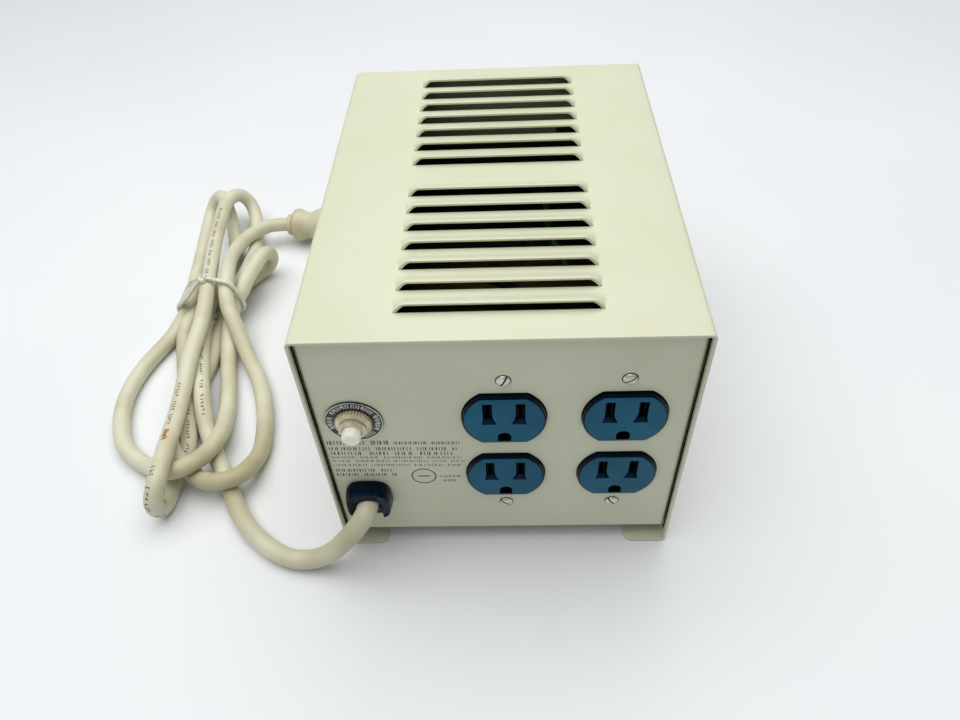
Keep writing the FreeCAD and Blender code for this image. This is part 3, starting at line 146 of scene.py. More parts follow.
def mat(name, col, col2=None, rough=0.5, rvar=0.08, metal=0.0, vscale=35.0, bump=0.0, bscale=900.0,
        spec=0.5, coat=0.0, sss=0.0, tint=None, band=(0.35, 0.65), detail=4.0, stretch=None):
    m = bpy.data.materials.new(name)
    m.use_nodes = True
    nt = m.node_tree
    b = nt.nodes["Principled BSDF"]
    tc = nt.nodes.new("ShaderNodeTexCoord")
    src = tc.outputs["Object"]
    if stretch:
        mp = nt.nodes.new("ShaderNodeMapping")
        mp.inputs["Scale"].default_value = stretch
        nt.links.new(src, mp.inputs["Vector"])
        src = mp.outputs["Vector"]
    n1 = nt.nodes.new("ShaderNodeTexNoise")
    n1.inputs["Scale"].default_value = vscale
    n1.inputs["Detail"].default_value = detail
    nt.links.new(src, n1.inputs["Vector"])
    r1 = nt.nodes.new("ShaderNodeValToRGB")
    r1.color_ramp.elements[0].position = band[0]
    r1.color_ramp.elements[1].position = band[1]
    r1.color_ramp.elements[0].color = lin(col2 or col)
    r1.color_ramp.elements[1].color = lin(col)
    nt.links.new(n1.outputs["Fac"], r1.inputs["Fac"])
    nt.links.new(r1.outputs["Color"], b.inputs["Base Color"])
    mr = nt.nodes.new("ShaderNodeMapRange")
    mr.inputs["From Min"].default_value = 0.3
    mr.inputs["From Max"].default_value = 0.7
    mr.inputs["To Min"].default_value = max(0.02, rough - rvar)
    mr.inputs["To Max"].default_value = min(1.0, rough + rvar)
    n2 = nt.nodes.new("ShaderNodeTexNoise")
    n2.inputs["Scale"].default_value = vscale * 3.1
    n2.inputs["Detail"].default_value = 3.0
    nt.links.new(src, n2.inputs["Vector"])
    nt.links.new(n2.outputs["Fac"], mr.inputs["Value"])
    nt.links.new(mr.outputs["Result"], b.inputs["Roughness"])
    b.inputs["Metallic"].default_value = metal
    b.inputs["Specular IOR Level"].default_value = spec
    b.inputs["Coat Weight"].default_value = coat
    if tint:
        b.inputs["Specular Tint"].default_value = lin(tint)
    b.inputs["Coat Roughness"].default_value = 0.15
    if sss:
        b.inputs["Subsurface Weight"].default_value = sss
        b.inputs["Subsurface Radius"].default_value = (0.004, 0.003, 0.002)
        b.inputs["Subsurface Scale"].default_value = 0.5
    if bump:
        n3 = nt.nodes.new("ShaderNodeTexNoise")
        n3.inputs["Scale"].default_value = bscale
        n3.inputs["Detail"].default_value = 2.0
        nt.links.new(src, n3.inputs["Vector"])
        bp = nt.nodes.new("ShaderNodeBump")
        bp.inputs["Strength"].default_value = bump
        bp.inputs["Distance"].default_value = 0.0002
        nt.links.new(n3.outputs["Fac"], bp.inputs["Height"])
        nt.links.new(bp.outputs["Normal"], b.inputs["Normal"])
    return m


MAT = {
    "case_paint": mat("case_paint", "#d0d2b9", "#cacbb1", rough=0.46, rvar=0.06, vscale=14, bump=0.10, bscale=1500, spec=0.35),
    "plated_steel": mat("plated_steel", "#b9b8b0", "#8f8e86", rough=0.34, rvar=0.1, metal=1.0, vscale=60, bump=0.05),
    "bright_nickel": mat("bright_nickel", "#d9d6c8", "#a9a596", rough=0.2, rvar=0.08, metal=1.0, vscale=120, bump=0.04),
    "spring_steel": mat("spring_steel", "#8d8d8b", "#6f6f6c", rough=0.35, metal=1.0, vscale=200),
    # near-black core colour: partly its varnish, partly painted shade so the inside of the case reads black through the
    # louvers
    "core_steel": mat("core_steel", "#1f2122", "#131516", rough=0.55, metal=0.6, vscale=80, bump=0.4, bscale=400,
                      stretch=(1.0, 30.0, 1.0)),
    "copper": mat("copper", "#a2532e", "#7c3c20", rough=0.35, metal=1.0, vscale=90, stretch=(1, 1, 14)),
    "contact_brass": mat("contact_brass", "#b6924a", "#93722f", rough=0.35, metal=1.0, vscale=90),
    "green_screw": mat("green_screw", "#3f7a52", "#2a5f3d", rough=0.35, metal=0.8, vscale=90),
    "outlet_plastic": mat("outlet_plastic", "#070b15", "#04070e", rough=0.33, rvar=0.06, vscale=70, bump=0.05, bscale=2500, spec=0.25, tint="#5c9ad8"),
    "black_moulding": mat("black_moulding", "#17181a", "#0f1012", rough=0.42, vscale=60, bump=0.08),
    "dial_black": mat("dial_black", "#15171c", "#0d0f13", rough=0.32, vscale=90, bump=0.03),
    "button_white": mat("button_white", "#fbfaee", "#f4f2e4", rough=0.33, vscale=120, bump=0.03, sss=0.1),
    "relief_nylon": mat("relief_nylon", "#050f1c", "#030b16", rough=0.3, rvar=0.06, vscale=90, bump=0.05, bscale=1800, spec=0.3, tint="#4c94d8"),
    "cord_jacket": mat("cord_jacket", "#d4d1b9", "#b5ae8c", rough=0.45, rvar=0.06, vscale=21, band=(0.34, 0.58), bump=0.06, bscale=1400, spec=0.4, sss=0.05),
    "tie_rubber": mat("tie_rubber", "#e8e5d6", "#d2ceb9", rough=0.55, vscale=260, bump=0.35, bscale=1600, sss=0.05),
    "bobbin_plastic": mat("bobbin_plastic", "#6b5a3c", "#59492f", rough=0.5, vscale=60),
    "coil_paper": mat("coil_paper", "#a08a58", "#8a7444", rough=0.75, vscale=50, bump=0.3),
    "wire_black": mat("wire_black", "#131313", "#0b0b0b", rough=0.4, vscale=80),
    "wire_white": mat("wire_white", "#d9d7cf", "#c9c7bd", rough=0.45, vscale=80),
    "wire_green": mat("wire_green", "#1d5a34", "#154726", rough=0.4, vscale=80),
}
PLUG_MAT = mat("plug_vinyl", "#d2cdb3", "#b9b18e", rough=0.5, rvar=0.06, vscale=45, bump=0.12, bscale=1300, spec=0.4, sss=0.05)
# painted reflection: the front faces get a lighter slate blue than the near-black moulding, standing in for the pale
# floor reflected in the glossy plastic
FRONT_REFLECTION_MAT = mat("outlet_front_painted_reflection", "#1b5d78", "#165068", rough=0.34, rvar=0.03, vscale=40, bump=0.02, bscale=2200, spec=0.22, tint="#4ea0d8")
SCREW = mat("screw_nickel", "#efece0", "#c9c5b6", rough=0.3, metal=0.45, vscale=500, bump=0.03)
NUTM = mat("nut_nickel", "#e4dcc2", "#cdbf9c", rough=0.36, rvar=0.06, metal=0.4, vscale=300, bump=0.03)
INK = mat("panel_ink", "#2c2e26", "#42443a", rough=0.6, vscale=900, band=(0.3, 0.6))
INK2 = mat("cord_ink", "#36342c", "#5c584c", rough=0.6, vscale=900, band=(0.3, 0.6))
MARK_WHITE = mat("dial_mark", "#d9dad2", "#b9bab2", rough=0.5, vscale=600)
STAIN = mat("stain", "#a8622a", "#b98a55", rough=0.6, vscale=500)
CUT_EDGE = mat("cut_edge", "#b4b3a4", "#a3a294", rough=0.5, vscale=120, bump=0.1)
# painted shade: flat black standing in for the shade in the screw slots, under the screw heads and in the gap beside
# the cover's side flanges
SHADE_BLACK = mat("painted_shade_black", "#050505", "#030303", rough=0.9, vscale=50, spec=0.1)
REAR = mat("rear_marks", "#c9c9c2", "#b6b6ae", rough=0.5, vscale=300)


# ---------------------------------------------------------------- mesh helpers
def add(name, me, material=None, smooth=True, angle=35):
    o = bpy.data.objects.new(name, me)
    sc.collection.objects.link(o)
    if material:
        if not me.materials:
            me.materials.append(material)
    if smooth:
        for p in me.polygons:
            p.use_smooth = True
        me.set_sharp_from_angle(angle=math.radians(angle))
    return o


def mesh_from(name, verts, faces):
    me = bpy.data.meshes.new(name)
    me.from_pydata(verts, [], faces)
    me.update()
    return me


def loft(name, loops, caps=(True, True), closed=True):
    n = len(loops[0])
    verts = [v for l in loops for v in l]
    faces = []
    for i in range(len(loops) - 1):
        for j in range(n if closed else n - 1):
            a, b = i * n + j, i * n + (j + 1) % n
            faces.append((a, b, b + n, a + n))
    if caps[0]:
        faces.append(tuple(reversed(range(n))))
    if caps[1]:
        faces.append(tuple(range((len(loops) - 1) * n, len(loops) * n)))
    me = mesh_from(name, verts, faces)
    bm = bmesh.new()
    bm.from_mesh(me)
    bmesh.ops.recalc_face_normals(bm, faces=bm.faces)
    bm.to_mesh(me)
    bm.free()
    return me


def boolean(me, cutters, op="DIFFERENCE"):
    """A new mesh: me with the cutter meshes taken out of it."""
    a = bpy.data.objects.new("tmp_a", me)
    sc.collection.objects.link(a)
    others = []
    for c in cutters:
        b = bpy.data.objects.new("tmp_b", c)
        sc.collection.objects.link(b)
        md = a.modifiers.new("cut", "BOOLEAN")
        md.operation = op
        md.solver = "EXACT"
        md.object = b
        others.append(b)
    dg = bpy.context.evaluated_depsgraph_get()
    dg.update()
    out = bpy.data.meshes.new_from_object(a.evaluated_get(dg))
    for o in [a] + others:
        bpy.data.objects.remove(o)
    return out


def bevelled(me, width, segments=2, angle=40):
    a = bpy.data.objects.new("tmp_a", me)
    sc.collection.objects.link(a)
    md = a.modifiers.new("bev", "BEVEL")
    md.width = width
    md.segments = segments
    md.limit_method = "ANGLE"
    md.angle_limit = math.radians(angle)
    dg = bpy.context.evaluated_depsgraph_get()
    dg.update()
    out = bpy.data.meshes.new_from_object(a.evaluated_get(dg))
    bpy.data.objects.remove(a)
    return out


def joined(name, meshes):
    bm = bmesh.new()
    mats = []
    for me in meshes:
        k = len(bm.faces)
        bm.from_mesh(me)
        bm.faces.ensure_lookup_table()
        idx = []
        for m in me.materials:
            if m not in mats:
                mats.append(m)
            idx.append(mats.index(m))
        for f in bm.faces[k:]:
            f.material_index = idx[f.material_index] if idx else 0
    out = bpy.data.meshes.new(name)
    bm.to_mesh(out)
    bm.free()
    for m in mats:
        out.materials.append(m)
    return out


def block(x0, x1, y0, y1, z0, z1):
    v = [(x, y, z) for z in (z0, z1) for y in (y0, y1) for x in (x0, x1)]
    f = [(0, 2, 3, 1), (4, 5, 7, 6), (0, 1, 5, 4), (2, 6, 7, 3), (0, 4, 6, 2), (1, 3, 7, 5)]
    return mesh_from("block", v, f)


def rod(axis, c, r, length, n=48, r2=None):
    """Closed round rod from c along the axis vector."""
    ax = Vector(axis).normalized()
    u = ax.orthogonal().normalized()
    w = ax.cross(u)
    r2 = r if r2 is None else r2
    loops = []
    for d, rr in ((0.0, r), (length, r2)):
        loops.append([Vector(c) + ax * d + (u * math.cos(2 * math.pi * k / n) + w * math.sin(2 * math.pi * k / n)) * rr
                      for k in range(n)])
    return loft("rod", loops)


def lathe(name, origin, axis, profile, n=72):
    """Round piece: profile is (along, radius)."""
    ax = Vector(axis).normalized()
    u = ax.orthogonal().normalized()
    w = ax.cross(u)
    loops = []
    for d, r in profile:
        loops.append([Vector(origin) + ax * d + (u * math.cos(2 * math.pi * k / n) + w * math.sin(2 * math.pi * k / n)) * r
                      for k in range(n)])
    return loft(name, loops)


def tube(name, pts, r, closed=False, material=None, res=4, flat=None):
    c = bpy.data.curves.new(name, "CURVE")
    c.dimensions = "3D"
    s = c.splines.new("NURBS")
    s.points.add(len(pts) - 1)
    for p, co in zip(s.points, pts):
        p.co = (co[0], co[1], co[2], 1.0)
    s.order_u = 3
    if closed:
        s.use_cyclic_u = True
    else:
        s.use_endpoint_u = True
    s.resolution_u = 4
    c.bevel_depth = r
    c.bevel_resolution = res
    c.use_fill_caps = True
    o = bpy.data.objects.new(name, c)
    sc.collection.objects.link(o)
    dg = bpy.context.evaluated_depsgraph_get()
    dg.update()
    me = bpy.data.meshes.new_from_object(o.evaluated_get(dg))
    bpy.data.objects.remove(o)
    if material:
        me.materials.clear()
        me.materials.append(material)
    return me


# ---------------------------------------------------------------- 1. wrapper cover
W, H, D, T = 0.156, 0.141, 0.211, 0.0012
LOU = [15.2 + 12.55 * k + (12.57 if k > 6 else 0.0) for k in range(14)]
LH, RISE, DEP = 39.7, 4.35, 9.4


def cover_mesh():
    hw, r, h = 78.0, 2.2, 141.0
    foot = 19.9
    # outline from the left foot edge round to the right one: (kind, value, x, z)
    cols = []
    for k in range(7):
        cols.append(("foot", 1 - k / 6, -1))
    for k in range(1, 6):
        a = k / 6 * math.pi / 2
        cols.append(("pt", (-hw + r - r * math.sin(a), r - r * math.cos(a)), 0))
    for z in (r, 20, 45, 70, 95, 118, 132, h - r):
        cols.append(("pt", (-hw, z), 0))
    for k in range(1, 6):
        a = k / 6 * math.pi / 2
        cols.append(("pt", (-hw + r - r * math.cos(a), h - r + r * math.sin(a)), 0))
    xs = [-hw + r, -66, -54, -45, -41.2]
    xs += [-LH + 6.4 * (k / 16) ** 1.3 for k in range(17)]
    xs += [-28, -21, -14, -7, 0]
    xs = xs + [-x for x in reversed(xs[:-1])]
    for x in xs:
        cols.append(("pt", (x, h), 0))
    left = cols[: 7 + 5 + 8 + 5]
    right = []
    for kind, v, s in reversed(left):
        right.append((kind, v, 1) if kind == "foot" else ("pt", (-v[0], v[1]), 0))
    cols = left + [("pt", (x, h), 0) for x in xs] + right
    rows = [0.0, 0.4, 0.9, 1.6, 2.4, 3.2, 4.0, 8.0]
    marks = {}
    for y0 in LOU:
        rows += [y0 - 1.6, y0 - 0.5]
        marks[len(rows)] = ("flat", y0)
        rows.append(y0)
        marks[len(rows)] = ("lip", y0)
        rows.append(y0)
        rows += [y0 + d for d in (0.35, 0.9, 1.7, 2.8, 4.0, 5.2, 6.3, 7.3, 8.2, 8.9, 9.6)]
    rows += [206.9, 207.8, 208.6, 209.4, 210.1, 210.6, 211.0]

    def lift(x, y, y0):
        d = LH - abs(x)
        if d <= 0:
            return 0.0
        q = min(1.0, d / 5.2)
        q = math.sin(q * math.pi / 2) ** 0.9
        s = min(1.0, max(0.0, (y - y0) / (DEP + 0.4)))
        p = 0.78 * 0.5 * (1 + math.cos(math.pi * s)) + 0.22 * (1 - s)
        lipr = 1.0 - 0.055 * max(0.0, 1 - (y - y0) / 0.9) ** 2
        return RISE * q * p * lipr

    verts, idx = [], []
    for ri, y in enumerate(rows):
        line = []
        kind, y0 = marks.get(ri, (None, None))
        cur = None
        if kind == "lip":
            cur = y0
        elif kind is None:
            for q in LOU:
                if q + 0.01 < y < q + DEP + 0.4:
                    cur = q
        for ci, (k, v, s) in enumerate(cols):
            if k == "foot":
                d = min(y, 211.0 - y)
                rr = 4.0
                inset = rr - math.sqrt(max(0.0, rr * rr - (rr - d) ** 2)) if d < rr else 0.0
                edge = hw - foot + inset
                x = s * (edge + (hw - r - edge) * (1 - v))
                z = 0.0
            else:
                x, z = v
            if k == "pt" and z == h and cur is not None:
                z += lift(x, y, cur)
            if kind == "lip" and not (k == "pt" and v[1] == h and abs(v[0]) < LH - 1e-6):
                line.append(idx[ri - 1][ci])
                continue
            verts.append((x / 1000, FY + y / 1000, z / 1000))
            line.append(len(verts) - 1)
        idx.append(line)
    faces = []
    for ri in range(len(rows) - 1):
        if marks.get(ri, ("",))[0] == "flat":
            continue
        a, b = idx[ri], idx[ri + 1]
        for ci in range(len(cols) - 1):
            faces.append((a[ci], a[ci + 1], b[ci + 1], b[ci]))
    me = mesh_from("cover", verts, faces)
    bm = bmesh.new()
    bm.from_mesh(me)
    bmesh.ops.recalc_face_normals(bm, faces=bm.faces)
    up = [f for f in bm.faces if abs(f.calc_center_median().z - 0.141) < 0.0005 and abs(f.normal.z) > 0.9]
    if sum(f.normal.z for f in up) < 0:
        bmesh.ops.reverse_faces(bm, faces=bm.faces)
    bm.to_mesh(me)
    bm.free()
    return me


cover = add("wrapper_cover", cover_mesh(), MAT["case_paint"], angle=50)
cover.data.materials.append(CUT_EDGE)
sol = cover.modifiers.new("gauge", "SOLIDIFY")
sol.thickness = T
sol.offset = -1.0
sol.use_even_offset = True
sol.material_offset_rim = 0
bv = cover.modifiers.new("edge", "BEVEL")
bv.width = 0.00022
bv.segments = 2
bv.limit_method = "ANGLE"
bv.angle_limit = math.radians(60)
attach(cover, "root")
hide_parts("cover")


# ---------------------------------------------------------------- 2. receptacle faces
YP = FY + 0.0022
YB = YP + 0.0012


def face_outline(cx, cz, w, hh, n=22, inset=0.0):
    r, h2 = w / 2 - inset, hh / 2 - inset
    a = math.asin(min(1.0, h2 / r))
    cr = 0.9
    pts = []
    for k in range(n + 1):
        t = -a + 2 * a * k / n
        pts.append((cx + r * math.cos(t), cz + r * math.sin(t)))
    for k in range(n + 1):
        t = math.pi - a + 2 * a * k / n
        pts.append((cx + r * math.cos(t), cz + r * math.sin(t)))
    return pts


def prism(pts0, y0, pts1, y1):
    return loft("prism", [[(x / 1000, y0, z / 1000) for x, z in pts0], [(x / 1000, y1, z / 1000) for x, z in pts1]])


def socket_tools(cx, cz):
    tools = []
    front = YP - 0.0021
    for s in (-1, 1):
        # outline of the tapered mouth: straight above, flared below towards the middle
        o = [(-1.9, 10.7), (1.9, 10.7), (1.95, 3.6), (2.4, 1.2), (3.7, -1.9), (-2.6, -1.9), (-2.0, 0.6), (-1.9, 3.0)]
        i = [(-1.15, 9.9), (1.15, 9.9), (1.15, 3.6), (1.25, 1.4), (1.7, -0.9), (-1.5, -0.9), (-1.15, 0.8), (-1.15, 3.0)]
        p0 = [(cx + s * -6.6 + s * x, cz + z) for x, z in o]
        p1 = [(cx + s * -6.6 + s * x, cz + z) for x, z in i]
        # run the taper out past the front so that the rim is clean
        pe = [(2 * a[0] - b[0], 2 * a[1] - b[1]) for a, b in zip(p0, p1)]
        pe = [(a[0] * 0.85 + b[0] * 0.15, a[1] * 0.85 + b[1] * 0.15) for a, b in zip(p0, pe)]
        tools.append(prism(pe, front - 0.0003, p1, front + 0.0022))
        tools.append(block((cx - s * 6.6 - 1.0) / 1000, (cx - s * 6.6 + 1.0) / 1000, front + 0.0010, YB + 0.0105,
                           (cz - 0.6) / 1000, (cz + (9.6 if s > 0 else 8.6)) / 1000))
    g = []
    for k in range(13):
        t = math.pi * k / 12
        g.append((cx + 2.8 * math.cos(t), cz - 9.9 + 2.6 * math.sin(t)))
    g += [(cx - 2.8, cz - 12.5), (cx - 2.5, cz - 12.8), (cx + 2.5, cz - 12.8), (cx + 2.8, cz - 12.5)]
    tools.append(prism(g, front - 0.0005, g, YB + 0.0105))
    return tools


def receptacle(tag, cx):
    parts = []
    front = YP - 0.0021
    tools_all = []
    for sg in (-1, 1):
        cz = 74.8 + 19.42 * sg
        ys = [(YB + 0.0015, 0.0), (front + 0.0008, 0.0), (front + 0.00042, 0.12), (front + 0.00012, 0.5), (front + 0.00002, 0.92), (front, 1.08)]
        loops = []
        for y, ins in ys:
            loops.append([(x / 1000, y, z / 1000) for x, z in face_outline(cx, cz, 34.2, 28.6, inset=ins)])
        me = loft("dome", loops)
        tools = socket_tools(cx, cz)
        tools_all += [t.copy() for t in tools]
        me = boolean(me, tools)
        me.materials.clear()
        me.materials.append(MAT["outlet_plastic"])
        # painted reflection: faces looking forward take the lighter blue front material, the rest keep the near-black
        # moulding
        me.materials.append(FRONT_REFLECTION_MAT)
        for p in me.polygons:
            c = p.center
            p.material_index = 1 if (p.normal.y < -0.7 and c.y < front + 0.00006) else 0
        parts.append(me)
    base = block((cx - 16.6) / 1000, (cx + 16.6) / 1000, YB + 0.0005, YB + 0.0089, (75.2 - 34.4) / 1000, (75.2 + 34.4) / 1000)
    base = boolean(base, tools_all)
    base.materials.clear()
    base.materials.append(MAT["outlet_plastic"])
    parts.append(base)
    o = add("receptacle_%s_faces" % tag, joined("receptacle_%s_faces" % tag, parts), smooth=True, angle=28)
    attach(o, "root")
    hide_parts("receptacle_%s_face" % tag)
    return o


receptacle("left", 1.2)
receptacle("right", 49.7)

# yoke screws: oval heads with one slot each, turned as they stopped
heads = []
for (sx, sz, turn) in ((1.2, 116.5, 62), (49.6, 116.5, 32), (1.2, 33.2, -38), (49.6, 33.0, -52)):
    hd = lathe("head", (sx / 1000, YP + 0.0052, sz / 1000), (0, -1, 0),
               [(0.0, 0.0017), (0.0049, 0.0017), (0.0050, 0.0027), (0.0055, 0.0029), (0.0060, 0.0026), (0.0064, 0.0019), (0.0066, 0.0008), (0.00665, 0.0001)], n=40)
    t = math.radians(turn)
    ca, sa = math.cos(t), math.sin(t)
    sl = loft("slot", [[(sx / 1000 + a * ca - b * sa, y, sz / 1000 + a * sa + b * ca)
                        for a, b in ((-0.0031, -0.00042), (0.0031, -0.00042), (0.0031, 0.00042), (-0.0031, 0.00042))]
                       for y in (YP - 0.0025, YP - 0.0004)])
    sl.materials.append(SHADE_BLACK)
    hd.materials.append(SCREW)
    cutm = boolean(hd, [sl])
    cutm.materials.clear()
    cutm.materials.append(SCREW)
    # painted shade: the walls of each slot take the flat black, for the shade inside the slot
    cutm.materials.append(SHADE_BLACK)
    for p in cutm.polygons:
        d = p.center - Vector((sx / 1000, 0, sz / 1000))
        off = -d.x * sa + d.z * ca
        p.material_index = 1 if (p.center.y < YP - 0.0001 and abs(off) < 0.00043 and (p.center.y > YP - 0.0005)) else 0
    heads.append(cutm)
    # painted shadow: a thin flat-black ring on the panel round the head, where the head's shadow falls
    rim = lathe("rim", (sx / 1000, YP + 0.0002, sz / 1000), (0, -1, 0), [(0.0, 0.0017), (0.0, 0.0032), (0.00024, 0.0032), (0.00026, 0.0017)], n=40)
    rim.materials.append(SHADE_BLACK)
    heads.append(rim)
ho = add("receptacle_screws", joined("receptacle_screws", heads), angle=35)
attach(ho, "root")
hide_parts("receptacle_mount_screws")

# ---------------------------------------------------------------- 3. strain relief
RX, RZ = -61.2, 41.0


def rel_loop(y, hwid, up, dn, n=72, e=3.4):
    pts = []
    for k in range(n):
        t = 2 * math.pi * k / n
        c, s = math.cos(t), math.sin(t)
        x = hwid * math.copysign(abs(c) ** (2 / e), c)
        z = (up if s > 0 else dn) * math.copysign(abs(s) ** (2 / (2.7 if s > 0 else 4.2)), s)
        # the upper edge is bowed, the lower one is nearly flat
        pts.append(((RX + x) / 1000, y, (RZ + z) / 1000))
    return pts


outer = loft("relief", [rel_loop(YP - 0.00002, 10.0, 9.9, 9.4), rel_loop(YP - 0.0006, 10.35, 10.2, 9.7),
                        rel_loop(YP - 0.0022, 10.4, 10.2, 9.7), rel_loop(YP - 0.0070, 9.75, 9.6, 9.3),
                        rel_loop(YP - 0.0074, 9.65, 9.5, 9.2), rel_loop(YP - 0.0077, 9.35, 9.2, 8.9),
                        rel_loop(YP - 0.00765, 8.9, 8.75, 8.5), rel_loop(YP - 0.0072, 8.5, 8.3, 8.2)])
bore = lathe("bore", (-0.0604, YP - 0.012, 0.0400), (0, 1, 0), [(0.0, 0.0060), (0.0046, 0.0058), (0.0075, 0.0051), (0.03, 0.0051)], n=48)
notch = loft("notch", [[((RX + x) / 1000, y, (RZ + z) / 1000) for x, z in
                        ((-5.2, -1.0), (5.6, -1.0), (5.9, -6.0), (6.6, -12.0), (-5.4, -12.0), (-5.2, -6.0))]
                       for y in (YP - 0.010, YP - 0.0046)])
outer = boolean(outer, [bore])
outer = boolean(outer, [notch])
tongue = loft("tongue", [rel_loop(YP + 0.00005, 6.9, 7.7, 7.7, e=6), rel_loop(YB + 0.011, 6.9, 7.7, 7.7, e=6)])
tongue = boolean(tongue, [lathe("bore2", (-0.0608, YP - 0.002, 0.0410), (0, 1, 0), [(0, 0.00476), (0.03, 0.00476)], n=48),
                          block((RX - 3.6) / 1000, (RX + 3.6) / 1000, YP + 0.0034, YB + 0.012, (RZ - 9) / 1000, (RZ - 3) / 1000)])
for m_ in (outer, tongue):
    m_.materials.clear()
    m_.materials.append(MAT["relief_nylon"])
relief = add("strain_relief", joined("strain_relief", [outer, tongue]), angle=32)
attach(relief, "root")
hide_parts("strain_relief_body")

# ---------------------------------------------------------------- 4. plug
PC = (-0.1508, FY + 0.2474, 0.0137)
ax = Vector((math.sin(math.radians(94)), math.cos(math.radians(94)), 0.0))
prof = [(0.0, 5.2), (0.0, 6.6), (0.3, 7.1), (0.7, 7.35), (2.9, 7.45), (3.2, 7.3), (3.35, 6.9), (3.6, 6.9), (3.9, 8.6), (4.6, 10.0), (5.6, 10.9), (6.8, 11.3),
        (8.6, 11.3), (10.2, 10.9), (12.2, 9.9), (14.0, 9.2), (15.6, 9.0), (17.2, 9.3), (19.4, 10.3), (22.0, 11.7), (25.2, 12.8),
        (28.4, 13.3), (31.4, 13.5), (41.2, 13.5), (42.0, 13.35), (42.7, 12.9), (43.2, 12.1)]
plug = lathe("plug", PC, ax, [(a / 1000, b / 1000) for a, b in prof], n=80)
plug.materials.append(PLUG_MAT)
plug_o = add("plug_housing", plug, angle=50)
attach(plug_o, "root")
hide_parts("plug_body")

# ---------------------------------------------------------------- 5. rubber tie round the hank
TIE = [
    (0.1, 32.2), (-1.4, 30.6), (-2.9, 29.0), (-4.4, 27.3), (-5.9, 25.7), (-7.4, 24.1),
    (-8.9, 22.4), (-10.4, 20.8), (-11.9, 19.1), (-13.4, 17.5), (-14.9, 15.9), (-16.4, 14.2),
    (-17.9, 12.6), (-19.4, 11.0), (-20.9, 9.3), (-22.2, 7.6), (-22.9, 5.5), (-22.8, 3.3),
    (-21.9, 1.3), (-20.3, 0.9), (-18.3, 0.9), (-16.1, 0.9), (-13.9, 0.9), (-11.7, 0.9),
    (-9.4, 0.9), (-7.2, 0.9), (-5.0, 0.9), (-2.8, 0.9), (-0.6, 0.9), (1.6, 0.9),
    (3.9, 0.9), (6.1, 0.9), (8.3, 0.9), (10.5, 0.9), (12.6, 0.9), (14.4, 2.0),
    (16.0, 3.5), (17.6, 5.0), (19.2, 6.6), (20.8, 8.1), (22.4, 9.6), (23.9, 11.2),
    (24.9, 13.2), (25.3, 15.4), (25.0, 17.6), (24.4, 19.7), (23.9, 21.9), (23.3, 24.0),
    (22.7, 26.2), (22.1, 28.3), (20.9, 30.1), (19.3, 31.7), (17.3, 32.5), (15.1, 32.9),
    (12.9, 33.1), (10.7, 33.4), (8.5, 33.7), (6.3, 33.9), (4.1, 34.0), (1.9, 33.5),
]
TO, TU, TN = Vector((-0.18829, 0.06233, 0.0)), Vector((0.9896, -0.1435, 0.0)), Vector((0.1435, 0.9896, 0.0))


def band(name, amp, phase, turns, r, spread=0.0, lift=0.0):
    """One strand of the rubber band; spread fans it out over the left shoulder of the hank."""
    pts = []
    n = len(TIE)
    for k, (u, z) in enumerate(TIE):
        t = 2 * math.pi * k / n
        fan = max(0.0, math.sin(math.pi * max(0.0, min(1.0, (1.0 - u) / 22.0)))) if z > 6 else 0.0
        off = amp * math.sin(turns * t + phase) + spread * fan
        up = 0.45 * math.cos(turns * t + phase) + lift * (0.25 + fan)
        c = TO + TU * (u / 1000) + TN * (off / 1000)
        pts.append((c.x, c.y, max(0.8, z + (up if z > 3 else 0.0)) / 1000))
    return tube(name, pts, r, closed=True, material=MAT["tie_rubber"])


tie_parts = [band("band_a", 0.5, 0.4, 2, 0.00105, 2.6, 1.6), band("band_b", 0.5, 0.4 + math.pi, 2, 0.0011, -2.2, 0.3),
             band("band_c", 0.35, 2.2, 3, 0.00105, 0.2, 1.0), band("band_d", 0.45, 4.2, 3, 0.00095, 5.0, 3.0),
             band("band_e", 0.45, 1.2, 3, 0.001, -4.4, -0.2)]
# the knot on top
kc = TO + TU * 0.0035
for a0, rr, zz in ((0.3, 0.0021, 0.0345), (1.9, 0.0017, 0.0352), (3.6, 0.0019, 0.0340)):
    kp = []
    for k in range(14):
        t = 2 * math.pi * k / 14
        kp.append((kc.x + rr * math.cos(t) * 0.8, kc.y + rr * math.sin(t) * 1.35, zz + 0.0011 * math.sin(2 * t + a0)))
    tie_parts.append(tube("knot", kp, 0.0008, closed=True, material=MAT["tie_rubber"]))
tie = add("cord_tie_band", joined("cord_tie_band", tie_parts), angle=60)
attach(tie, "root")
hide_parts("cord_tie")

# ---------------------------------------------------------------- cord print
# small unreadable dashes along the jacket, laid on points of the cord's own line
bare = crv.copy()
bare.bevel_depth = 0.0
bare.use_fill_caps = False
bo = bpy.data.objects.new("bare", bare)
sc.collection.objects.link(bo)
dg = bpy.context.evaluated_depsgraph_get()
dg.update()
bm_ = bpy.data.meshes.new_from_object(bo.evaluated_get(dg))
line = [v.co.copy() for v in bm_.vertices]
bpy.data.objects.remove(bo)
arc = [0.0]
for a, b in zip(line, line[1:]):
    arc.append(arc[-1] + (b - a).length)


def along_cord(s_):
    i = max(1, min(len(arc) - 1, next((k for k, v in enumerate(arc) if v >= s_), len(arc) - 1)))
    f_ = (s_ - arc[i - 1]) / max(1e-9, arc[i] - arc[i - 1])
    return line[i - 1].lerp(line[i], f_), (line[i] - line[i - 1]).normalized()


EYE = cam.matrix_world.translation.copy()
RIGHT = cam.matrix_world.to_3x3() @ Vector((1, 0, 0))


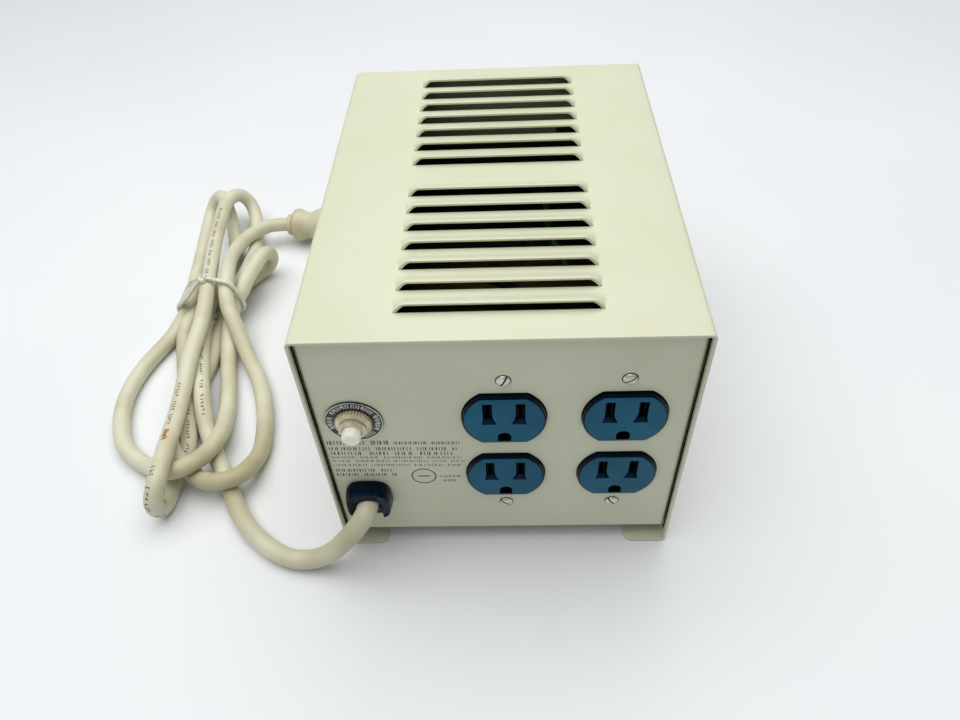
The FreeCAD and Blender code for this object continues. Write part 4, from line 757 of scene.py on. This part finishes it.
def patch(s0, s1, f0, f1):
    """A thin curved patch on the jacket from arc s0 to s1, over part f0 to f1 of its width as seen from the front."""
    loops = []
    for rad in (0.00466, 0.00474):
        rows_ = []
        for s_ in (s0, s1):
            p, t_ = along_cord(s_)
            v = (EYE - p)
            v = (v - t_ * v.dot(t_)).normalized()
            sd = v.cross(t_)
            if sd.dot(RIGHT) < 0:
                sd = -sd
            rows_.append([p + (v * math.cos(math.asin(f)) + sd * math.sin(math.asin(f))) * rad
                          for f in (f0, (f0 + f1) / 2, f1)])
        loops.append(rows_[0] + list(reversed(rows_[1])))
    return loft("dash", loops)


dashes = []
for a0, a1, f in ((0.428, 0.506, -0.42), (0.176, 0.232, -0.05), (0.715, 0.742, -0.1), (0.590, 0.640, -0.62), (0.652, 0.690, -0.72)):
    s_ = a0
    word = random.randrange(3, 7)
    while s_ < a1:
        if word == 0:
            word = random.randrange(3, 7)
            s_ += 0.0032
            continue
        word -= 1
        q0 = random.choice((-0.12, -0.12, 0.0))
        dashes.append(patch(s_, s_ + 0.0005, f + q0 - 0.05, f + 0.2))
        if random.random() < 0.7:
            e_ = random.choice((-0.12, 0.09))
            dashes.append(patch(s_ + 0.0005, s_ + 0.00135, f + e_, f + e_ + 0.08))
        s_ += 0.0020
for m_ in dashes:
    m_.materials.append(INK2)
st_ = [patch(0.6275 + 0.0009 * k, 0.62845 + 0.0009 * k, -0.68 + 0.05 * math.sin(k * 1.7), -0.36 + 0.1 * math.sin(0.9 + k * 0.9)) for k in range(9)]
for m_ in st_:
    m_.materials.append(STAIN)
cp = add("cord_print", joined("cord_print", dashes + st_), smooth=False)
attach(cp, "root")

# the cord stands for its plain solids
cord.data.materials.append(MAT["cord_jacket"])
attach(cord, "root")
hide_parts("cord_lead", "cord_tail", "cord_hank")

# ---------------------------------------------------------------- 6. breaker dial marks
marks = []
BX, BZ = -60.0, 93.8
yd = YP - 0.00082
for w0, w1 in ((0.62, 1.5), (1.66, 2.62), (2.84, 3.62), (3.9, 4.4), (5.05, 5.6), (-0.5, 0.42)):
    t = w0
    while t < w1:
        bars = ((8.7, 10.9, 0.0, 0.24),) + (((8.7, 10.9, 0.95, 0.2),) if random.random() < 0.45 else ((9.3, 10.9, 0.8, 0.3),))
        for r0, r1, dq, wdt in bars:
            c, s = math.cos(t), math.sin(t)
            loops = []
            for y in (yd + 0.00003, yd - 0.00004):
                loops.append([((BX + r * c - q * s) / 1000, y, (BZ + r * s + q * c) / 1000)
                              for r, q in ((r0, dq - wdt), (r1, dq - wdt), (r1, dq + wdt), (r0, dq + wdt))])
            me = loft("stroke", loops)
            me.materials.append(MARK_WHITE)
            marks.append(me)
        t += 0.2
for rr in (11.55,):
    ring = bpy.data.meshes.new("ring")
    loops = []
    n = 96
    for r, y in ((rr, yd + 0.00003), (rr, yd - 0.00006), (rr + 0.35, yd - 0.00006), (rr + 0.35, yd + 0.00003)):
        loops.append([((BX + r * math.cos(2 * math.pi * k / n)) / 1000, y, (BZ + r * math.sin(2 * math.pi * k / n)) / 1000)
                      for k in range(n)])
    me = loft("ring", loops + [loops[0]], caps=(False, False))
    me.materials.append(MAT["bright_nickel"])
    marks.append(me)
dm = add("breaker_dial_marks", joined("breaker_dial_marks", marks), smooth=False)
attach(dm, "root")

# knurled nut with a chamfered face, and the threaded bushing in it
ny = YP - 0.00086
loops = []
nn = 144
for d, r in ((0.0, 6.9), (0.0001, 7.5), (0.0019, 7.5), (0.00205, 7.15), (0.0030, 6.25), (0.0031, 6.0), (0.0031, 5.66), (0.0, 5.66)):
    ring_ = []
    for k in range(nn):
        rr = r
        if 7.4 < r:
            rr = 7.72 if k % 4 in (0, 1) else 6.95
        t = 2 * math.pi * k / nn
        ring_.append(((BX + rr * math.cos(t)) / 1000, ny - d, (BZ + rr * math.sin(t)) / 1000))
    loops.append(ring_)
me = loft("nut", loops + [loops[0]], caps=(False, False))
me.materials.append(NUTM)
nut = add("breaker_nut", me, angle=22)
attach(nut, "root")
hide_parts("breaker_knurled_nut")
by = FY - 0.0043
front_y = ny - 0.0031
pr = [(0.0, 4.35), (0.0, 4.62), (0.00022, 4.8), (0.0007, 4.85), (0.00075, 5.1)]
d = 0.00075
L_ = (YB + 0.004) - by
while d < 0.0050:
    pr += [(d + 0.00012, 5.05), (d + 0.00034, 5.62), (d + 0.00056, 5.62), (d + 0.00078, 5.05)]
    d += 0.00092
pr += [(d + 0.0002, 5.5), (YB + 0.00005 - by, 5.5), (YB + 0.00005 - by, 7.0), (YB + 0.00165 - by, 7.0), (YB + 0.00165 - by, 5.55),
       (L_, 5.55), (L_, 4.04), (0.0008, 4.04), (0.0002, 4.14)]
bl = [[(BX / 1000 + r / 1000 * math.cos(2 * math.pi * k / 72), by + dd, BZ / 1000 + r / 1000 * math.sin(2 * math.pi * k / 72)) for k in range(72)]
      for dd, r in pr]
me = loft("bushing", bl + [bl[0]], caps=(False, False))
me.materials.append(NUTM)
bush = add("breaker_bushing_threaded", me, angle=30)
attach(bush, "root")
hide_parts("breaker_bushing")

# push button, eight soft flats with a rounded nose
bl = []
for d, r in ((0.0, 0.6), (0.00002, 2.0), (0.00008, 2.9), (0.00035, 3.45), (0.0009, 3.78), (0.0018, 3.9), (0.0128, 3.9), (0.01282, 2.0), (0.0324, 2.0), (0.0324, 0.5)):
    ring_ = []
    for k in range(96):
        t = 2 * math.pi * k / 96
        flat = 1.0
        if r > 2.1 and d < 0.006:
            m8 = ((t + math.pi / 8) % (math.pi / 4)) - math.pi / 8
            flat = 1.0 - 0.035 * math.cos(m8 * 8) * 0.5 - 0.0175
        ring_.append((BX / 1000 + r / 1000 * flat * math.cos(t), FY - 0.0084 + d, BZ / 1000 + r / 1000 * flat * math.sin(t)))
    bl.append(ring_)
me = loft("button", bl)
me.materials.append(MAT["button_white"])
btn = add("breaker_push_button", me, angle=45)
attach(btn, "reset_button")
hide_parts("breaker_button")

# ---------------------------------------------------------------- 7. generic print on the panel
# rows of short strokes stand for the small print; they spell nothing
PRINT = [
    (-73.9, -48.0, 79.12, 78.78, 2.70, 2.75, 0.42),
    (-45.5, -16.8, 78.44, 77.76, 1.90, 2.05, 0.30),
    (-73.8, -17.0, 75.05, 73.71, 2.20, 2.60, 0.34),
    (-73.5, -20.7, 71.77, 70.53, 2.30, 2.90, 0.36),
    (-73.6, -16.5, 68.88, 67.55, 1.35, 2.15, 0.25),
    (-73.7, -16.2, 66.24, 64.92, 1.35, 2.15, 0.25),
    (-73.8, -16.4, 63.28, 61.97, 1.35, 2.15, 0.25),
    (-73.6, -48.8, 59.36, 58.80, 2.10, 2.60, 0.34),
    (-73.7, -46.1, 56.01, 55.54, 2.10, 2.60, 0.34),
    (-28.0, -18.6, 53.67, 53.85, 1.50, 2.00, 0.28),
    (-26.5, -20.2, 50.45, 50.62, 1.50, 2.00, 0.28),
]
ink = []
yi = YP
RGX, RGZ = -35.1, 54.1


def stroke(x0, x1, z0, z1):
    return block(x0 / 1000, x1 / 1000, yi - 0.00004, yi + 0.0001, z0 / 1000, z1 / 1000)


# painted shadow: dark strips on the panel where the gap to the cover's side flanges lies in shade
gap_shadow_strips = []
for e0, e1 in ((-76.7, -76.1), (76.1, 76.7)):
    jn = stroke(e0, e1, 8.5, 137.5)
    jn.materials.append(SHADE_BLACK)
    gap_shadow_strips.append(jn)


def glyph(x, z, wd, hh, lw):
    """One small unreadable mark: upright ticks and a block of uneven width."""
    lo, hi = z - hh / 2, z + hh / 2
    kind = random.randrange(4)
    mid = x + wd * random.uniform(0.35, 0.6)
    if kind == 0:
        return [stroke(x, x + lw, lo, hi), stroke(x + wd - lw, x + wd, lo, hi)]
    if kind == 1:
        return [stroke(x, x + lw, lo, hi), stroke(mid, mid + lw * 1.5, lo, hi)]
    if kind == 2:
        return [stroke(x, x + lw * 1.8, lo, hi), stroke(x + wd - lw, x + wd, lo, hi)]
    return [stroke(x, x + lw, lo, hi), stroke(mid, mid + lw, lo, hi), stroke(x + wd - lw * 0.8, x + wd, lo, hi)]


for x0, x1, z0_, z1_, hh, pitch, lw in PRINT:
    x, left_in_word = x0, random.randrange(4, 8)
    while x + pitch * 0.6 < x1:
        z = z0_ + (z1_ - z0_) * (x - x0) / (x1 - x0)
        if left_in_word == 0:
            left_in_word = random.randrange(3, 9)
            x += pitch * 0.75
            continue
        left_in_word -= 1
        ink += glyph(x, z, pitch * 0.68, hh, lw)
        x += pitch
# a plain ring with a dash in it, where the round mark is
n_ = 64
loops = []
for r, y in ((5.0, yi + 0.0001), (5.0, yi - 0.00004), (5.55, yi - 0.00004), (5.55, yi + 0.0001)):
    loops.append([((RGX + r * math.cos(2 * math.pi * k / n_)) / 1000, y, (RGZ + r * math.sin(2 * math.pi * k / n_)) / 1000)
                  for k in range(n_)])
ink.append(loft("ring", loops + [loops[0]], caps=(False, False)))
ink.append(stroke(RGX - 2.6, RGX + 2.6, RGZ - 0.35, RGZ + 0.35))
for m_ in ink:
    m_.materials.append(INK)
io = add("panel_print_and_gap_shadow", joined("panel_print_and_gap_shadow", ink + gap_shadow_strips), smooth=False)
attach(io, "root")

# ---------------------------------------------------------------- 8. finishes of the carried-over pieces
SLOT = {
    "cover": "case_paint",
    "chassis_tray": "case_paint",
    "cover_screws": "plated_steel",
    "receptacle_left_face": "outlet_plastic",
    "receptacle_right_face": "outlet_plastic",
    "receptacle_left_body": "black_moulding",
    "receptacle_right_body": "black_moulding",
    "receptacle_left_strap": "plated_steel",
    "receptacle_right_strap": "plated_steel",
    "receptacle_left_contacts": "contact_brass",
    "receptacle_right_contacts": "contact_brass",
    "receptacle_left_ground_clip": "contact_brass",
    "receptacle_right_ground_clip": "contact_brass",
    "receptacle_terminal_screws": "contact_brass",
    "receptacle_ground_screws": "green_screw",
    "receptacle_mount_screws": "bright_nickel",
    "breaker_dial_plate": "dial_black",
    "breaker_knurled_nut": "bright_nickel",
    "breaker_bushing": "bright_nickel",
    "breaker_body": "black_moulding",
    "breaker_button": "button_white",
    "breaker_trip_plate": "contact_brass",
    "breaker_spring": "spring_steel",
    "breaker_bimetal": "contact_brass",
    "breaker_terminals": "contact_brass",
    "strain_relief_body": "relief_nylon",
    "strain_relief_jaw": "relief_nylon",
    "cord_lead": "cord_jacket",
    "cord_tail": "cord_jacket",
    "cord_hank": "cord_jacket",
    "cord_tie": "tie_rubber",
    "plug_body": "cord_jacket",
    "plug_blades": "contact_brass",
    "plug_ground_pin": "contact_brass",
    "core_laminations": "core_steel",
    "coil_bobbin": "bobbin_plastic",
    "primary_winding": "copper",
    "secondary_winding": "copper",
    "electrostatic_shield": "copper",
    "coil_wrap": "coil_paper",
    "core_clamp_angles": "plated_steel",
    "core_clamp_bars": "plated_steel",
    "core_bolts": "plated_steel",
    "core_bolt_nuts": "plated_steel",
    "transformer_mount_screws": "plated_steel",
    "transformer_mount_nuts": "plated_steel",
    "ground_stud": "plated_steel",
    "ground_stud_nut": "plated_steel",
    "ground_ring_terminal": "contact_brass",
    "cord_inner_jacket": "cord_jacket",
    "wires_black": "wire_black",
    "wires_white": "wire_white",
    "wires_green": "wire_green",
    "wire_connector": "bobbin_plastic",
    "switch_body": "black_moulding",
    "switch_rocker": "dial_black",
    "switch_terminals": "contact_brass",
}
for name, o in N.items():
    m = MAT[SLOT[name]]
    o.data.materials.clear()
    o.data.materials.append(m)
    for p in o.data.polygons:
        p.material_index = 0
N["plug_blades"].data.materials[0] = MAT["contact_brass"]


def soften(name, width, angle=40, segments=2):
    md = N[name].modifiers.new("edge", "BEVEL")
    md.width = width
    md.segments = segments
    md.limit_method = "ANGLE"
    md.angle_limit = math.radians(angle)
    md.use_clamp_overlap = True
    md.harden_normals = False


# ---------------------------------------------------------------- floor and light
fl = mesh_from("floor", [(-3, -2.2, 0), (3, -2.2, 0), (3, 3.2, 0), (-3, 3.2, 0)], [(0, 1, 2, 3)])
floor = add("floor", fl, mat("floor_paper", "#e6e8ea", "#e2e4e7", rough=0.75, rvar=0.05, vscale=3), smooth=False)
floor.location = (0, 0, -0.0003)

w = bpy.data.worlds.new("world")
w.use_nodes = True
w.node_tree.nodes["Background"].inputs["Color"].default_value = (0.93, 0.97, 1.0, 1)
w.node_tree.nodes["Background"].inputs["Strength"].default_value = 0.23
sc.world = w


def area(name, loc, target, size, power, col=(1, 1, 1), size_y=None):
    l = bpy.data.lights.new(name, "AREA")
    l.energy = power
    l.color = col
    l.size = size
    if size_y:
        l.shape = "RECTANGLE"
        l.size_y = size_y
    o = bpy.data.objects.new(name, l)
    sc.collection.objects.link(o)
    d = Vector(target) - Vector(loc)
    o.matrix_world = Matrix.Translation(loc) @ d.to_track_quat("-Z", "Y").to_matrix().to_4x4()
    return o


area("key", (-0.1, 0.12, 1.35), (-0.02, 0.0, 0.0), 2.0, 26.8, (1.0, 0.995, 0.985), 1.6)
area("fill", (-0.7, -1.0, 0.9), (0, 0, 0.06), 1.0, 0.8, (0.95, 0.98, 1.0), 1.0)
